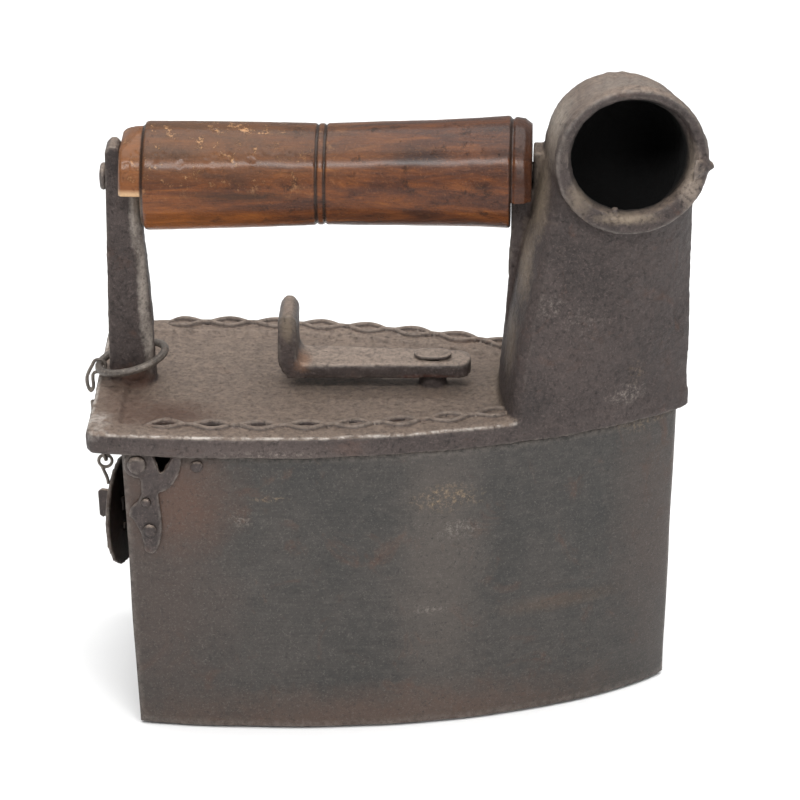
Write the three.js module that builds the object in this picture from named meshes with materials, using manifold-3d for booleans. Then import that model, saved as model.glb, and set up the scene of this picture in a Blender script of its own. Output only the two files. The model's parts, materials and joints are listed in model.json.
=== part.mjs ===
// A charcoal chimney iron: a tapered sheet-iron firebox on a thick sole, a cast lid
// with a goose-neck chimney and a wooden handle, a swivelling thumb latch, a round
// draught door at the heel, and a short wire chain from the lid to that door.
//
// Millimetres. The origin is the centre of the sole's underside, +X points to the
// toe, +Y to the side away from the chimney's mouth, +Z up.

import * as THREE from 'three';
import { mergeVertices } from 'three/addons/utils/BufferGeometryUtils.js';
import Module from 'manifold-3d';

const wasm = await Module();
wasm.setup();

// ---------------------------------------------------------------- dimensions

const GAP = 0.3; // clearance between separate pieces

// outline of a flat iron, as fractions of its length and half-width
const WIDEST_AT = 0.22;
const HEEL_NARROWING = 0.05;
const TOE_SHARPNESS = 2.1;
const TOE_FULLNESS = 0.8;
const OUTLINE_STEPS = 16; // points along each side

const LID = { heel: -102.5, toe: 102.5, halfWidth: 52, bottom: 104.5, top: 112.4 };
const SKIRT_WALL = 2.6;
const PLATE_UNDERSIDE = 107.6;
const TRAY_FLOOR = 111;
const TRAY_RIM = 11.5;
const TRAY_HEEL = -94;
const RIM_CHAMFER = 1.4;
const RELIEF = { first: -72, last: 40, spacing: 16.6, inside: 7.3, halfLength: 6.6, height: 0.8 };

const BOX_BOTTOM = { z: 0, heel: -85.9, toe: 95.9, halfWidth: 48.8 };
const BOX_TOP = { z: 104.2, heel: -90.6, toe: 98.6, halfWidth: 48.4 };
const SHEET = 1.5; // sheet-iron thickness
const SHELL_LIFT = 0.8; // the sole stands this far below the sheet
const SOLE_THICKNESS = 6;

const PANEL_TOP = 96;
const PANEL_TILT = Math.atan2(BOX_BOTTOM.heel - BOX_TOP.heel, BOX_TOP.z);

const HINGE = { x: -85.2, z: 100.4, radius: 2.5, headRadius: 3.7, earRadius: 5 };

const CHIMNEY = { baseX: 72, cornerX: 43.8, rearX: 36.5, base: 107.4 };
const CHIMNEY_RADIUS = 25.7;
const CHIMNEY_WALL = 5;
const ELBOW = new THREE.Vector3(77.5, 0, 200);
const MOUTH = new THREE.Vector3(82, -29.5, 205.7);
const MOUTH_RING = { radius: 26.1, depth: 6 };

// the wooden grip between its ends: z of its axis in front, and how far that falls to the rear
const HANDLE = { front: 48.1, rear: -93, z: 190.6, drop: 3.8 };
const HANDLE_SHOULDER = 185.6; // the casting's shoulders under both ends of the grip
const ROD_RADIUS = 3.5;
const ROD_END = 53.6;
const POST_HALF_WIDTH = 5.2;
const LUG_HALF_WIDTH = 6;

const LATCH = { x: 14, boss: 6, bossTop: 115.7, armTop: 121.2, shaft: 3, shaftTop: 122 };
// the lever's front is measured from its pivot
const LEVER = { heel: -36, rearHalf: 9.3, frontHalf: 6.6, front: 13.2, tabTop: 139.6 };
const PIN_HEAD = { halfLength: 6.5, halfWidth: 4, thickness: 1.3 };
const CATCH = { angle: 35, reach: 35.8, top: 98.6, bottom: 95.8 };

const DOOR = { z: 61.2, radius: 19.6, hole: 16, thickness: 1.6, ajar: 11.6 };
const KNOB = { z: 66, y: -2.5 }; // the fin of the door
const DOOR_HINGE = { x: -3, y: 24, pin: 1, barrel: 2.4 };

const RING = { x: -90.6, z: 118.9, radius: 12, wire: 1.4, tilt: 15 };
const WIRE = 0.65; // radius of the thin chain wire

// ----------------------------------------------------------------- materials

const COLOURS = {
  sheetIron: [0x4d4744, 0.55, 0.7],
  castIron: [0x55504d, 0.6, 0.7],
  steel: [0x5d544e, 0.5, 0.8],
  rustySteel: [0x5f4a3f, 0.7, 0.6],
  wire: [0x6a5f57, 0.5, 0.8],
  wood: [0x8a4a1e, 0.35, 0],
};

function material(kind) {
  const [color, roughness, metalness] = COLOURS[kind];
  return new THREE.MeshStandardMaterial({ color, roughness, metalness });
}

// -------------------------------------------------------------- solid helpers

function solid(geometry) {
  const bare = geometry.clone();
  bare.deleteAttribute('normal');
  bare.deleteAttribute('uv');
  const merged = mergeVertices(bare, 1e-4);
  return new wasm.Manifold(new wasm.Mesh({
    numProp: 3,
    vertProperties: new Float32Array(merged.attributes.position.array),
    triVerts: new Uint32Array(merged.index.array),
  }));
}

function geometryOf(manifold) {
  const mesh = manifold.getMesh();
  const geometry = new THREE.BufferGeometry();
  geometry.setAttribute('position', new THREE.BufferAttribute(mesh.vertProperties, 3));
  geometry.setIndex(new THREE.BufferAttribute(mesh.triVerts, 1));
  geometry.computeVertexNormals();
  return geometry;
}

function joined(first, ...others) {
  return others.reduce((whole, piece) => whole.add(piece), first);
}

function cut(first, ...tools) {
  return tools.reduce((whole, tool) => whole.subtract(tool), first);
}

function box(x0, x1, y0, y1, z0, z1) {
  const geometry = new THREE.BoxGeometry(x1 - x0, y1 - y0, z1 - z0);
  geometry.translate((x0 + x1) / 2, (y0 + y1) / 2, (z0 + z1) / 2);
  return solid(geometry);
}

// a straight rod from one point to another
function rod(from, to, radius, sides = 24, endRadius = radius) {
  const start = new THREE.Vector3(...from);
  const along = new THREE.Vector3(...to).sub(start);
  const geometry = new THREE.CylinderGeometry(endRadius, radius, along.length(), sides);
  geometry.translate(0, along.length() / 2, 0);
  const turn = new THREE.Quaternion();
  turn.setFromUnitVectors(new THREE.Vector3(0, 1, 0), along.clone().normalize());
  geometry.applyQuaternion(turn);
  geometry.translate(start.x, start.y, start.z);
  return solid(geometry);
}

// a plate whose outline lies in the XZ plane, between y0 and y1
function sidePlate(points, y0, y1) {
  const shape = new THREE.Shape(points.map(([x, z]) => new THREE.Vector2(x, z)));
  const geometry = new THREE.ExtrudeGeometry(shape, { depth: y1 - y0, bevelEnabled: false });
  geometry.rotateX(Math.PI / 2);
  geometry.translate(0, y1, 0);
  return solid(geometry);
}

// a plate whose outline lies in the XY plane, between z0 and z1
function flatPlate(shape, z0, z1) {
  const options = { depth: z1 - z0, bevelEnabled: false, curveSegments: 10 };
  const geometry = new THREE.ExtrudeGeometry(shape, options);
  geometry.translate(0, 0, z0);
  return solid(geometry);
}

// a closed skin over rings that all have the same number of points
function loft(rings) {
  const count = rings[0].length;
  const points = rings.flat();
  const faces = [];
  for (let level = 0; level < rings.length - 1; level += 1) {
    for (let i = 0; i < count; i += 1) {
      const next = (i + 1) % count;
      const low = level * count;
      const high = low + count;
      faces.push(low + i, low + next, high + next, low + i, high + next, high + i);
    }
  }
  const last = (rings.length - 1) * count;
  const flat = rings[0].map((point) => new THREE.Vector2(point.x, point.y));
  for (const [a, b, c] of THREE.ShapeUtils.triangulateShape(flat, [])) {
    faces.push(a, c, b, last + a, last + b, last + c);
  }
  const geometry = new THREE.BufferGeometry();
  const array = points.flatMap((point) => [point.x, point.y, point.z]);
  geometry.setAttribute('position', new THREE.Float32BufferAttribute(array, 3));
  geometry.setIndex(faces);
  return solid(geometry);
}

// a round wire along a smooth curve through points
function wire(points, radius, closed, steps) {
  const curve = new THREE.CatmullRomCurve3(
    points.map((point) => new THREE.Vector3(...point)), closed, 'centripetal');
  const section = new THREE.Shape();
  section.absarc(0, 0, radius, 0, 2 * Math.PI, false);
  const options = { steps, extrudePath: curve, curveSegments: 4 };
  return new THREE.ExtrudeGeometry(section, options);
}

// a rivet: domed head outwards along +Z, shank below it
function rivetGeometry(headRadius, headHeight, shankRadius, shankLength) {
  const profile = [new THREE.Vector2(0, -shankLength), new THREE.Vector2(shankRadius, -shankLength),
    new THREE.Vector2(shankRadius, 0), new THREE.Vector2(headRadius, 0)];
  for (let step = 1; step < 4; step += 1) {
    const angle = (step * Math.PI) / 8;
    profile.push(new THREE.Vector2(headRadius * Math.cos(angle), headHeight * Math.sin(angle)));
  }
  profile.push(new THREE.Vector2(0, headHeight));
  const geometry = new THREE.LatheGeometry(profile, 10);
  geometry.rotateX(Math.PI / 2);
  return geometry;
}

// ------------------------------------------------------------- the iron's shape

// half-width of the outline as a fraction of its greatest, from heel (0) to toe (1)
function outlineWidth(s) {
  if (s < WIDEST_AT) {
    return 1 - HEEL_NARROWING * ((WIDEST_AT - s) / WIDEST_AT) ** 2;
  }
  const toToe = Math.min(1, (s - WIDEST_AT) / (1 - WIDEST_AT));
  return (1 - toToe ** TOE_SHARPNESS) ** TOE_FULLNESS;
}

// the outline as a closed ring of points, counter-clockwise seen from above
function outline(heel, toe, halfWidth, z, inset = 0) {
  const side = [];
  for (let i = 0; i < OUTLINE_STEPS; i += 1) {
    const s = 1 - (1 - i / OUTLINE_STEPS) ** 1.5;
    side.push(new THREE.Vector2(heel + s * (toe - heel), -halfWidth * outlineWidth(s)));
  }
  const mirrored = side.map((point) => new THREE.Vector2(point.x, -point.y)).reverse();
  const ring = [...side, new THREE.Vector2(toe, 0), ...mirrored];
  return insetRing(ring, inset).map((point) => new THREE.Vector3(point.x, point.y, z));
}

// a ring moved inwards, each point along the bisector of its two edges
function insetRing(ring, distance) {
  return ring.map((point, i) => {
    const before = ring[(i + ring.length - 1) % ring.length];
    const after = ring[(i + 1) % ring.length];
    const a = point.clone().sub(before).normalize();
    const b = after.clone().sub(point).normalize();
    const inward = new THREE.Vector2(-a.y - b.y, a.x + b.x).normalize();
    const mitre = Math.max(0.5, inward.dot(new THREE.Vector2(-a.y, a.x)));
    return point.clone().addScaledVector(inward, distance / mitre);
  });
}

function lidRing(z, inset = 0) {
  return outline(LID.heel, LID.toe, LID.halfWidth, z, inset);
}

// the firebox's size at a height
function boxAt(z) {
  const t = z / BOX_TOP.z;
  const mix = (key) => BOX_BOTTOM[key] + t * (BOX_TOP[key] - BOX_BOTTOM[key]);
  return { heel: mix('heel'), toe: mix('toe'), halfWidth: mix('halfWidth') };
}

function boxRing(z, inset = 0) {
  const { heel, toe, halfWidth } = boxAt(z);
  return outline(heel, toe, halfWidth, z, inset);
}

// half-width of the firebox's outer wall at one place
function wallHalfWidth(x, z) {
  const { heel, toe, halfWidth } = boxAt(z);
  return halfWidth * outlineWidth((x - heel) / (toe - heel));
}

// lays a geometry made about y = 0 (outwards +y) onto the wall of one side
function ontoWall(geometry, side) {
  const position = geometry.attributes.position;
  for (let i = 0; i < position.count; i += 1) {
    const outward = wallHalfWidth(position.getX(i), position.getZ(i)) + position.getY(i);
    position.setY(i, side * outward);
  }
  if (side < 0) {
    geometry.index = null;
    for (let i = 0; i < position.count; i += 3) {
      swapVertices(position, i + 1, i + 2);
    }
  }
  return geometry;
}

function swapVertices(position, a, b) {
  const kept = [position.getX(a), position.getY(a), position.getZ(a)];
  position.setXYZ(a, position.getX(b), position.getY(b), position.getZ(b));
  position.setXYZ(b, ...kept);
}

// ------------------------------------------------------------------- firebox

const SIDES = { near: -1, far: 1 };
const RIVETS = {
  strap_rivet_lower: { x: -81.2, z: 75.7, head: 2.5 },
  strap_rivet_upper: { x: -82.4, z: 86.2, head: 1.7 },
  wall_rivet: { x: -64.8, z: 100, head: 2.3 },
};
const RIVET_SHANK = 1.2;

// ragged V worn into the top edge of both walls, through the straps
function edgeNotch() {
  const edge = [[-80.2, 105], [-78.8, 100.4], [-77.4, 97], [-75.6, 98.4], [-72.4, 105]];
  return sidePlate(edge, -60, 60);
}

function bodyShell() {
  const outer = loft([boxRing(SHELL_LIFT), boxRing(BOX_TOP.z)]);
  const inner = loft([boxRing(SHELL_LIFT - 2, SHEET), boxRing(BOX_TOP.z + 2, SHEET)]);
  const sideWalls = cut(outer, inner);
  const pinHole = rod([HINGE.x, -60, HINGE.z], [HINGE.x, 60, HINGE.z], HINGE.radius + GAP);
  const rivetHoles = Object.values(RIVETS).map(({ x, z }) => (
    rod([x, -60, z], [x, 60, z], RIVET_SHANK + GAP, 12)));
  return cut(sideWalls, heelOpening(), edgeNotch(), pinHole, ...rivetHoles, keeperRivetHole());
}

// the heel end of the wrap, where the rear panel stands between the two sides
function heelOpening() {
  const reach = 4;
  const halfWidth = (z) => boxAt(z).halfWidth * outlineWidth(0) - SHEET;
  const ring = (z) => {
    const heel = boxAt(z).heel;
    const y = halfWidth(z);
    return [[heel - reach, -y], [heel + reach, -y], [heel + reach, y], [heel - reach, y]]
      .map(([x, across]) => new THREE.Vector3(x, across, z));
  };
  return loft([ring(-2), ring(BOX_TOP.z + 2)]);
}

// leaf-shaped strap that carries the lid's hinge pin, one on each side
function hingeStrap(side) {
  const edge = new THREE.Shape();
  edge.moveTo(-81.2, 103.9);
  edge.lineTo(-69.8, 103.9);
  edge.quadraticCurveTo(-70.2, 96.5, -73.7, 92.6);
  edge.quadraticCurveTo(-75.6, 90.2, -78.1, 89.8);
  edge.quadraticCurveTo(-77.6, 84, -77.1, 79);
  edge.quadraticCurveTo(-76.8, 71.4, -79.2, 67.8);
  edge.quadraticCurveTo(-81.2, 65.4, -83.2, 67.8);
  edge.quadraticCurveTo(-83.8, 74, -85.4, 76.6);
  edge.quadraticCurveTo(-86.6, 79.2, -88.4, 80.4);
  edge.quadraticCurveTo(-88.4, 83.4, -86.6, 84.8);
  edge.quadraticCurveTo(-84.8, 86.2, -84, 89.2);
  edge.lineTo(-84, 94.8);
  edge.quadraticCurveTo(-90.4, 95, -89.9, 100.4);
  edge.quadraticCurveTo(-89.4, 103.9, -85.2, 103.9);
  const geometry = new THREE.ExtrudeGeometry(edge, { depth: 1.2, bevelEnabled: false, curveSegments: 5 });
  geometry.rotateX(Math.PI / 2);
  geometry.translate(0, GAP + 1.2, 0);
  const strap = solid(ontoWall(geometry, side));
  const pinHole = rod([HINGE.x, -60, HINGE.z], [HINGE.x, 60, HINGE.z], HINGE.radius + GAP);
  const holes = [RIVETS.strap_rivet_lower, RIVETS.strap_rivet_upper].map(({ x, z }) => (
    rod([x, -60, z], [x, 60, z], RIVET_SHANK + GAP, 12)));
  return cut(strap, pinHole, edgeNotch(), ...holes);
}

function wallRivet({ x, z, head }, side, standOff) {
  const geometry = rivetGeometry(head, 1.3, RIVET_SHANK, standOff + SHEET + 0.4);
  geometry.rotateX(-Math.PI / 2);
  geometry.translate(x, standOff, z);
  return solid(ontoWall(geometry.toNonIndexed(), side));
}

function hingePin() {
  const end = 50.6;
  const shaft = rod([HINGE.x, -end, HINGE.z], [HINGE.x, end, HINGE.z], HINGE.radius);
  const heads = Object.values(SIDES).map((side) => {
    const face = side * (wallHalfWidth(HINGE.x, HINGE.z) + 2.4);
    return rod([HINGE.x, face, HINGE.z], [HINGE.x, face + side * 1.2, HINGE.z], HINGE.headRadius, 24, 2.8);
  });
  return joined(shaft, ...heads);
}

function rearPanel() {
  const ring = (z) => {
    const y = boxAt(z).halfWidth * outlineWidth(0) - SHEET - GAP;
    return [[0, -y], [SHEET, -y], [SHEET, y], [0, y]]
      .map(([x, across]) => new THREE.Vector3(x, across, z));
  };
  const plate = loft([ring(SHELL_LIFT + GAP), ring(PANEL_TOP)]);
  const draughtHole = rod([-5, 0, DOOR.z], [5, 0, DOOR.z], DOOR.hole, 32);
  const rivetHoles = bracketRivetPlaces().map(([y, z]) => rod([-5, y, z], [5, y, z], RIVET_SHANK + GAP, 12));
  return cut(plate, draughtHole, ...rivetHoles);
}

function solePlate() {
  const inset = SHEET + GAP;
  const plate = loft([boxRing(0, inset), boxRing(SOLE_THICKNESS, inset)]);
  const heelCut = box(-110, BOX_BOTTOM.heel + SHEET + 2 * GAP, -60, 60, -1, SOLE_THICKNESS + 1);
  return cut(plate, heelCut);
}

// cast grate on four feet, with rows of slots for air
function grate() {
  const bottom = 14;
  const top = 16.5;
  const { toe, halfWidth } = boxAt(bottom);
  const ring = (z) => outline(BOX_BOTTOM.heel, toe - 10, halfWidth - 5, z);
  const plate = loft([ring(bottom), ring(top)]);
  const ends = [box(-110, -74, -60, 60, 10, 20), box(72, 120, -60, 60, 10, 20)];
  const slots = [];
  for (let column = 0; column < 7; column += 1) {
    const x = -62 + column * 18;
    const halfLength = 0.62 * wallHalfWidth(x, top) - 5;
    slots.push(box(x, x + 7, 4, halfLength + 8, 10, 20));
    slots.push(box(x, x + 7, -halfLength - 8, -4, 10, 20));
  }
  const feet = [[-67, 30], [-67, -30], [60, 12], [60, -12]].map(([x, y]) => (
    rod([x, y, SOLE_THICKNESS + GAP], [x, y, bottom + 1], 3, 12)));
  return joined(cut(plate, ...ends, ...slots), ...feet);
}

// hook-shaped lug inside the far wall, which the catch swings under
const KEEPER = { x: LATCH.x, halfWidth: 6, z: 99.2, drop: 10 };

function keeperWall() {
  return wallHalfWidth(KEEPER.x + KEEPER.halfWidth, KEEPER.z) - SHEET - 2 * GAP;
}

function latchKeeper() {
  const inner = keeperWall();
  const left = KEEPER.x - KEEPER.halfWidth;
  const right = KEEPER.x + KEEPER.halfWidth;
  const ledge = box(left, right, inner - 8, inner, KEEPER.z, KEEPER.z + 2);
  const back = box(left, right, inner - 1.6, inner, KEEPER.z - KEEPER.drop, KEEPER.z + 1);
  return cut(joined(ledge, back), keeperRivetHole());
}

function keeperRivetHole() {
  const z = KEEPER.z - 6;
  return rod([KEEPER.x, 20, z], [KEEPER.x, 60, z], RIVET_SHANK + GAP, 12);
}

function keeperRivet() {
  const z = KEEPER.z - 6;
  const geometry = rivetGeometry(2.2, 1.2, RIVET_SHANK, 6.4);
  geometry.rotateX(-Math.PI / 2);
  geometry.translate(KEEPER.x, GAP + 0.2, z);
  return solid(ontoWall(geometry.toNonIndexed(), 1));
}

// --------------------------------------------------------------- draught door

function bracketRivetPlaces() {
  return [[30.5, DOOR.z + 5.5], [30.5, DOOR.z - 5.5]];
}

// the fixed half of the door's hinge, on the rear panel
function doorBracket() {
  const { x, y, barrel, pin } = DOOR_HINGE;
  const knuckle = (z0, z1) => rod([x, y, z0], [x, y, z1], barrel, 16);
  const z = DOOR.z;
  const leaf = box(-1.8, -0.4, y + 1.4, 34.5, z - 9, z + 9);
  const webs = [box(-1.8, -0.8, y, y + 2, z + 2.8, z + 9), box(-1.8, -0.8, y, y + 2, z - 9, z - 2.8)];
  const body = joined(leaf, ...webs, knuckle(z + 2.8, z + 9), knuckle(z - 9, z - 2.8));
  const room = rod([x, y, z - 2.8], [x, y, z + 2.8], barrel + GAP, 16);
  const bore = rod([x, y, z - 12], [x, y, z + 12], pin + GAP, 12);
  const holes = bracketRivetPlaces().map(([across, up]) => (
    rod([-5, across, up], [5, across, up], RIVET_SHANK + GAP, 12)));
  return cut(body, room, bore, ...holes);
}

function bracketRivet([y, z]) {
  const geometry = rivetGeometry(2, 1, RIVET_SHANK, 4);
  geometry.rotateY(-Math.PI / 2);
  geometry.translate(-1.8 - GAP, y, z);
  return solid(geometry);
}

function doorPin() {
  const { x, y, pin } = DOOR_HINGE;
  const shaft = rod([x, y, DOOR.z - 10], [x, y, DOOR.z + 10], pin, 12);
  return joined(shaft, rod([x, y, DOOR.z + 9.4], [x, y, DOOR.z + 10.6], 1.8, 12));
}

const KNOB_RIVET_DROP = 10;

// pieces of the door are made shut, in the rear panel's frame, then turned ajar
function doorDisc() {
  const { x, y, barrel, pin } = DOOR_HINGE;
  const shut = { near: -0.5, far: -0.5 - DOOR.thickness };
  const disc = rod([shut.near, 0, DOOR.z], [shut.far, 0, DOOR.z], DOOR.radius, 16);
  const web = box(shut.far, shut.near, y - 9, y, DOOR.z - 2.4, DOOR.z + 2.4);
  const knuckle = rod([x, y, DOOR.z - 2.4], [x, y, DOOR.z + 2.4], barrel, 16);
  const bore = rod([x, y, DOOR.z - 12], [x, y, DOOR.z + 12], pin + GAP, 12);
  const rivetZ = KNOB.z - KNOB_RIVET_DROP;
  const holes = [knobTang(GAP), rod([-5, KNOB.y, rivetZ], [5, KNOB.y, rivetZ], RIVET_SHANK + GAP, 12)];
  return cut(joined(disc, web, knuckle), bore, ...holes);
}

function knobTang(room = 0) {
  return box(-2.4, 0, KNOB.y - 0.8 - room, KNOB.y + 0.8 + room, KNOB.z - 4 - room, KNOB.z + 1 + room);
}

// flat upright fin for finger and thumb
function doorKnob() {
  const face = -2.1 - GAP;
  const fin = sidePlate([[face, KNOB.z - 6.5], [face, KNOB.z + 3], [face - 5.5, KNOB.z + 3.7],
    [face - 6.8, KNOB.z + 2.7], [face - 6.8, KNOB.z - 6.1], [face - 5.6, KNOB.z - 7.1],
    [face - 3.6, KNOB.z - 5.9]], KNOB.y - 0.8, KNOB.y + 0.8);
  return joined(fin, knobTang());
}

function doorRivet() {
  const geometry = rivetGeometry(1.9, 1.1, RIVET_SHANK, DOOR.thickness + 0.8);
  geometry.rotateY(-Math.PI / 2);
  geometry.translate(-2.1 - GAP, KNOB.y, KNOB.z - KNOB_RIVET_DROP);
  return solid(geometry);
}

// ------------------------------------------------------------------------ lid

// the chimney's foot: the toe of the lid, closed by a bowed wall behind it
function chimneyFoot(inset) {
  const toe = lidRing(0, 0.2).filter((point) => point.x > CHIMNEY.cornerX);
  const halfChord = Math.abs(toe[0].y) - 2.5;
  const rear = [];
  for (let i = -4; i <= 4; i += 1) {
    const across = (i / 4) * halfChord;
    const bow = (CHIMNEY.cornerX - 2.5 - CHIMNEY.rearX) * (1 - (i / 4) ** 2);
    rear.push(new THREE.Vector2(CHIMNEY.cornerX - 2.5 - bow, -across));
  }
  const ring = [...toe.map((point) => new THREE.Vector2(point.x, point.y)), ...rear];
  return insetRing(ring, inset);
}

// distance from the foot's centre to its edge in one direction
function reachOf(ring, centreX, angle) {
  const ray = new THREE.Vector2(Math.cos(angle), Math.sin(angle));
  let reach = 0;
  ring.forEach((point, i) => {
    const after = ring[(i + 1) % ring.length];
    const a = new THREE.Vector2(point.x - centreX, point.y);
    const edge = after.clone().sub(point);
    const scale = ray.cross(edge);
    const along = a.cross(edge) / scale;
    const part = a.cross(ray) / scale;
    if (along > 0 && part >= -1e-6 && part <= 1 + 1e-6) {
      reach = Math.max(reach, along);
    }
  });
  return reach;
}

// the upright part, from the lid's toe to the round neck, and the elbow above it
function chimneySolid(inset, base, mouthExtra) {
  const directions = 32;
  const levels = 6;
  const foot = chimneyFoot(inset);
  const neck = CHIMNEY_RADIUS - inset;
  const rings = [];
  for (let level = 0; level <= levels; level += 1) {
    const part = level / levels;
    const blend = part ** 1.5;
    const ring = [];
    for (let i = 0; i < directions; i += 1) {
      const angle = (i / directions) * 2 * Math.PI;
      const reach = reachOf(foot, CHIMNEY.baseX, angle) * (1 - blend) + neck * blend;
      const centre = CHIMNEY.baseX + (ELBOW.x - CHIMNEY.baseX) * blend;
      const z = base + part * (ELBOW.z - base);
      ring.push(new THREE.Vector3(centre + reach * Math.cos(angle), reach * Math.sin(angle), z));
    }
    rings.push(ring);
  }
  const ball = new THREE.SphereGeometry(neck, 24, 12);
  ball.rotateX(Math.PI / 2);
  ball.translate(ELBOW.x, ELBOW.y, ELBOW.z);
  return joined(loft(rings), solid(ball), barrel(neck, mouthExtra));
}

// horizontal way out of the mouth, whose ring stands upright
const MOUTH_WAY = new THREE.Vector3(MOUTH.x - ELBOW.x, MOUTH.y - ELBOW.y, 0).normalize();

// from the elbow to the mouth, rising on the way, with upright round sections
function barrel(radius, mouthExtra) {
  const length = Math.hypot(MOUTH.x - ELBOW.x, MOUTH.y - ELBOW.y) + mouthExtra;
  const geometry = new THREE.CylinderGeometry(radius, radius, length, 28);
  geometry.translate(0, length / 2, 0);
  geometry.applyQuaternion(new THREE.Quaternion().setFromUnitVectors(new THREE.Vector3(0, 1, 0), MOUTH_WAY));
  const rise = (MOUTH.z - ELBOW.z) / (length - mouthExtra);
  const position = geometry.attributes.position;
  for (let i = 0; i < position.count; i += 1) {
    const along = position.getX(i) * MOUTH_WAY.x + position.getY(i) * MOUTH_WAY.y;
    position.setZ(i, position.getZ(i) + rise * along);
  }
  geometry.translate(ELBOW.x, ELBOW.y, ELBOW.z);
  return solid(geometry);
}

function mouthRing() {
  const start = MOUTH.clone().addScaledVector(MOUTH_WAY, -MOUTH_RING.depth);
  return rod(start.toArray(), MOUTH.toArray(), MOUTH_RING.radius, 28);
}

// low lens-shaped bosses in a row along both long rims
function rimRelief() {
  const lenses = [];
  const { first, last, spacing, inside, halfLength, height } = RELIEF;
  const length = LID.toe - LID.heel;
  for (const side of Object.values(SIDES)) {
    for (let x = first; x < last; x += spacing) {
      const s = (x - LID.heel) / length;
      const y = LID.halfWidth * outlineWidth(s);
      const ahead = LID.halfWidth * outlineWidth(s + 0.01);
      const slope = Math.atan2(ahead - y, 0.01 * length);
      const lens = new THREE.Shape();
      lens.moveTo(-halfLength, 0);
      lens.quadraticCurveTo(0, -halfLength, halfLength, 0);
      lens.quadraticCurveTo(0, halfLength, -halfLength, 0);
      const options = { depth: 2 * height, bevelEnabled: false, curveSegments: 3 };
      const geometry = new THREE.ExtrudeGeometry(lens, options);
      geometry.rotateZ(side * slope);
      geometry.translate(x, side * (y - inside), LID.top - height);
      lenses.push(solid(geometry));
    }
  }
  return lenses;
}

function rearPost() {
  const top = HANDLE_SHOULDER + 13.6;
  const edge = [[-98, 108], [-82.2, 108], [-82.2, 112.4], [-83.2, 137], [-85.6, 165],
    [-85.6, HANDLE_SHOULDER], [-93, HANDLE_SHOULDER], [-93, top - 1.4], [-94.2, top], [-96.6, top],
    [-98, top - 1.4]];
  return sidePlate(edge, -POST_HALF_WIDTH, POST_HALF_WIDTH);
}

// rib behind the chimney, whose shoulder holds the handle's front end
function handleLug() {
  const edge = [[46, 110], [60, 110], [66, 199.4], [HANDLE.front, 199.4], [HANDLE.front, HANDLE_SHOULDER],
    [40.8, HANDLE_SHOULDER], [40.8, 170], [38.6, 125]];
  return sidePlate(edge, -LUG_HALF_WIDTH, LUG_HALF_WIDTH);
}

function hingeEars() {
  return Object.values(SIDES).map((side) => {
    const outer = side * (wallHalfWidth(HINGE.x - 3, HINGE.z) - SHEET - 3 * GAP);
    const inner = outer - side * 4;
    const round = rod([HINGE.x, inner, HINGE.z], [HINGE.x, outer, HINGE.z], HINGE.earRadius, 20);
    const stem = box(HINGE.x - HINGE.earRadius, HINGE.x + HINGE.earRadius,
      Math.min(inner, outer), Math.max(inner, outer), HINGE.z, PLATE_UNDERSIDE + 0.5);
    return joined(round, stem);
  });
}

function lidCasting() {
  const slab = loft([lidRing(LID.bottom), lidRing(LID.top - RIM_CHAMFER), lidRing(LID.top, 1.2)]);
  const hollow = loft([lidRing(LID.bottom - 1, SKIRT_WALL), lidRing(PLATE_UNDERSIDE, SKIRT_WALL)]);
  const flue = chimneySolid(0, CHIMNEY.base, -1);
  const bore = chimneySolid(CHIMNEY_WALL, LID.bottom, 4);
  const trayRing = (z) => outline(LID.heel, LID.toe - 2 * TRAY_RIM, LID.halfWidth - TRAY_RIM, z);
  const tray = loft([trayRing(TRAY_FLOOR), trayRing(LID.top + 1)])
    .intersect(box(TRAY_HEEL, 60, -60, 60, 100, 120));
  const boss = rod([LATCH.x, 0, TRAY_FLOOR - 1], [LATCH.x, 0, LATCH.bossTop], LATCH.boss, 24);
  const body = joined(cut(slab, hollow, tray), ...rimRelief(), flue, mouthRing(),
    rearPost(), handleLug(), boss, ...hingeEars());
  const pinHole = rod([HINGE.x, -49, HINGE.z], [HINGE.x, 49, HINGE.z], HINGE.radius + GAP);
  const latchBore = rod([LATCH.x, 0, 100], [LATCH.x, 0, 120], LATCH.shaft + GAP, 20);
  const rodBore = handleBar(-110, ROD_END + 2 * GAP, ROD_RADIUS + GAP);
  return cut(body, bore, pinHole, latchBore, rodBore);
}

// height of the handle's axis, which falls towards the heel
const HANDLE_SLOPE = HANDLE.drop / (HANDLE.front - HANDLE.rear);

function handleAxis(x) {
  return HANDLE.z + (x - HANDLE.front) * HANDLE_SLOPE;
}

function handleBar(x0, x1, radius, endRadius = radius) {
  return rod([x0, 0, handleAxis(x0)], [x1, 0, handleAxis(x1)], radius, 16, endRadius);
}

function handleRod() {
  return joined(handleBar(-99.4, ROD_END, ROD_RADIUS), handleBar(-98.3, -100.2, 5.4, 4.2));
}

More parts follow.
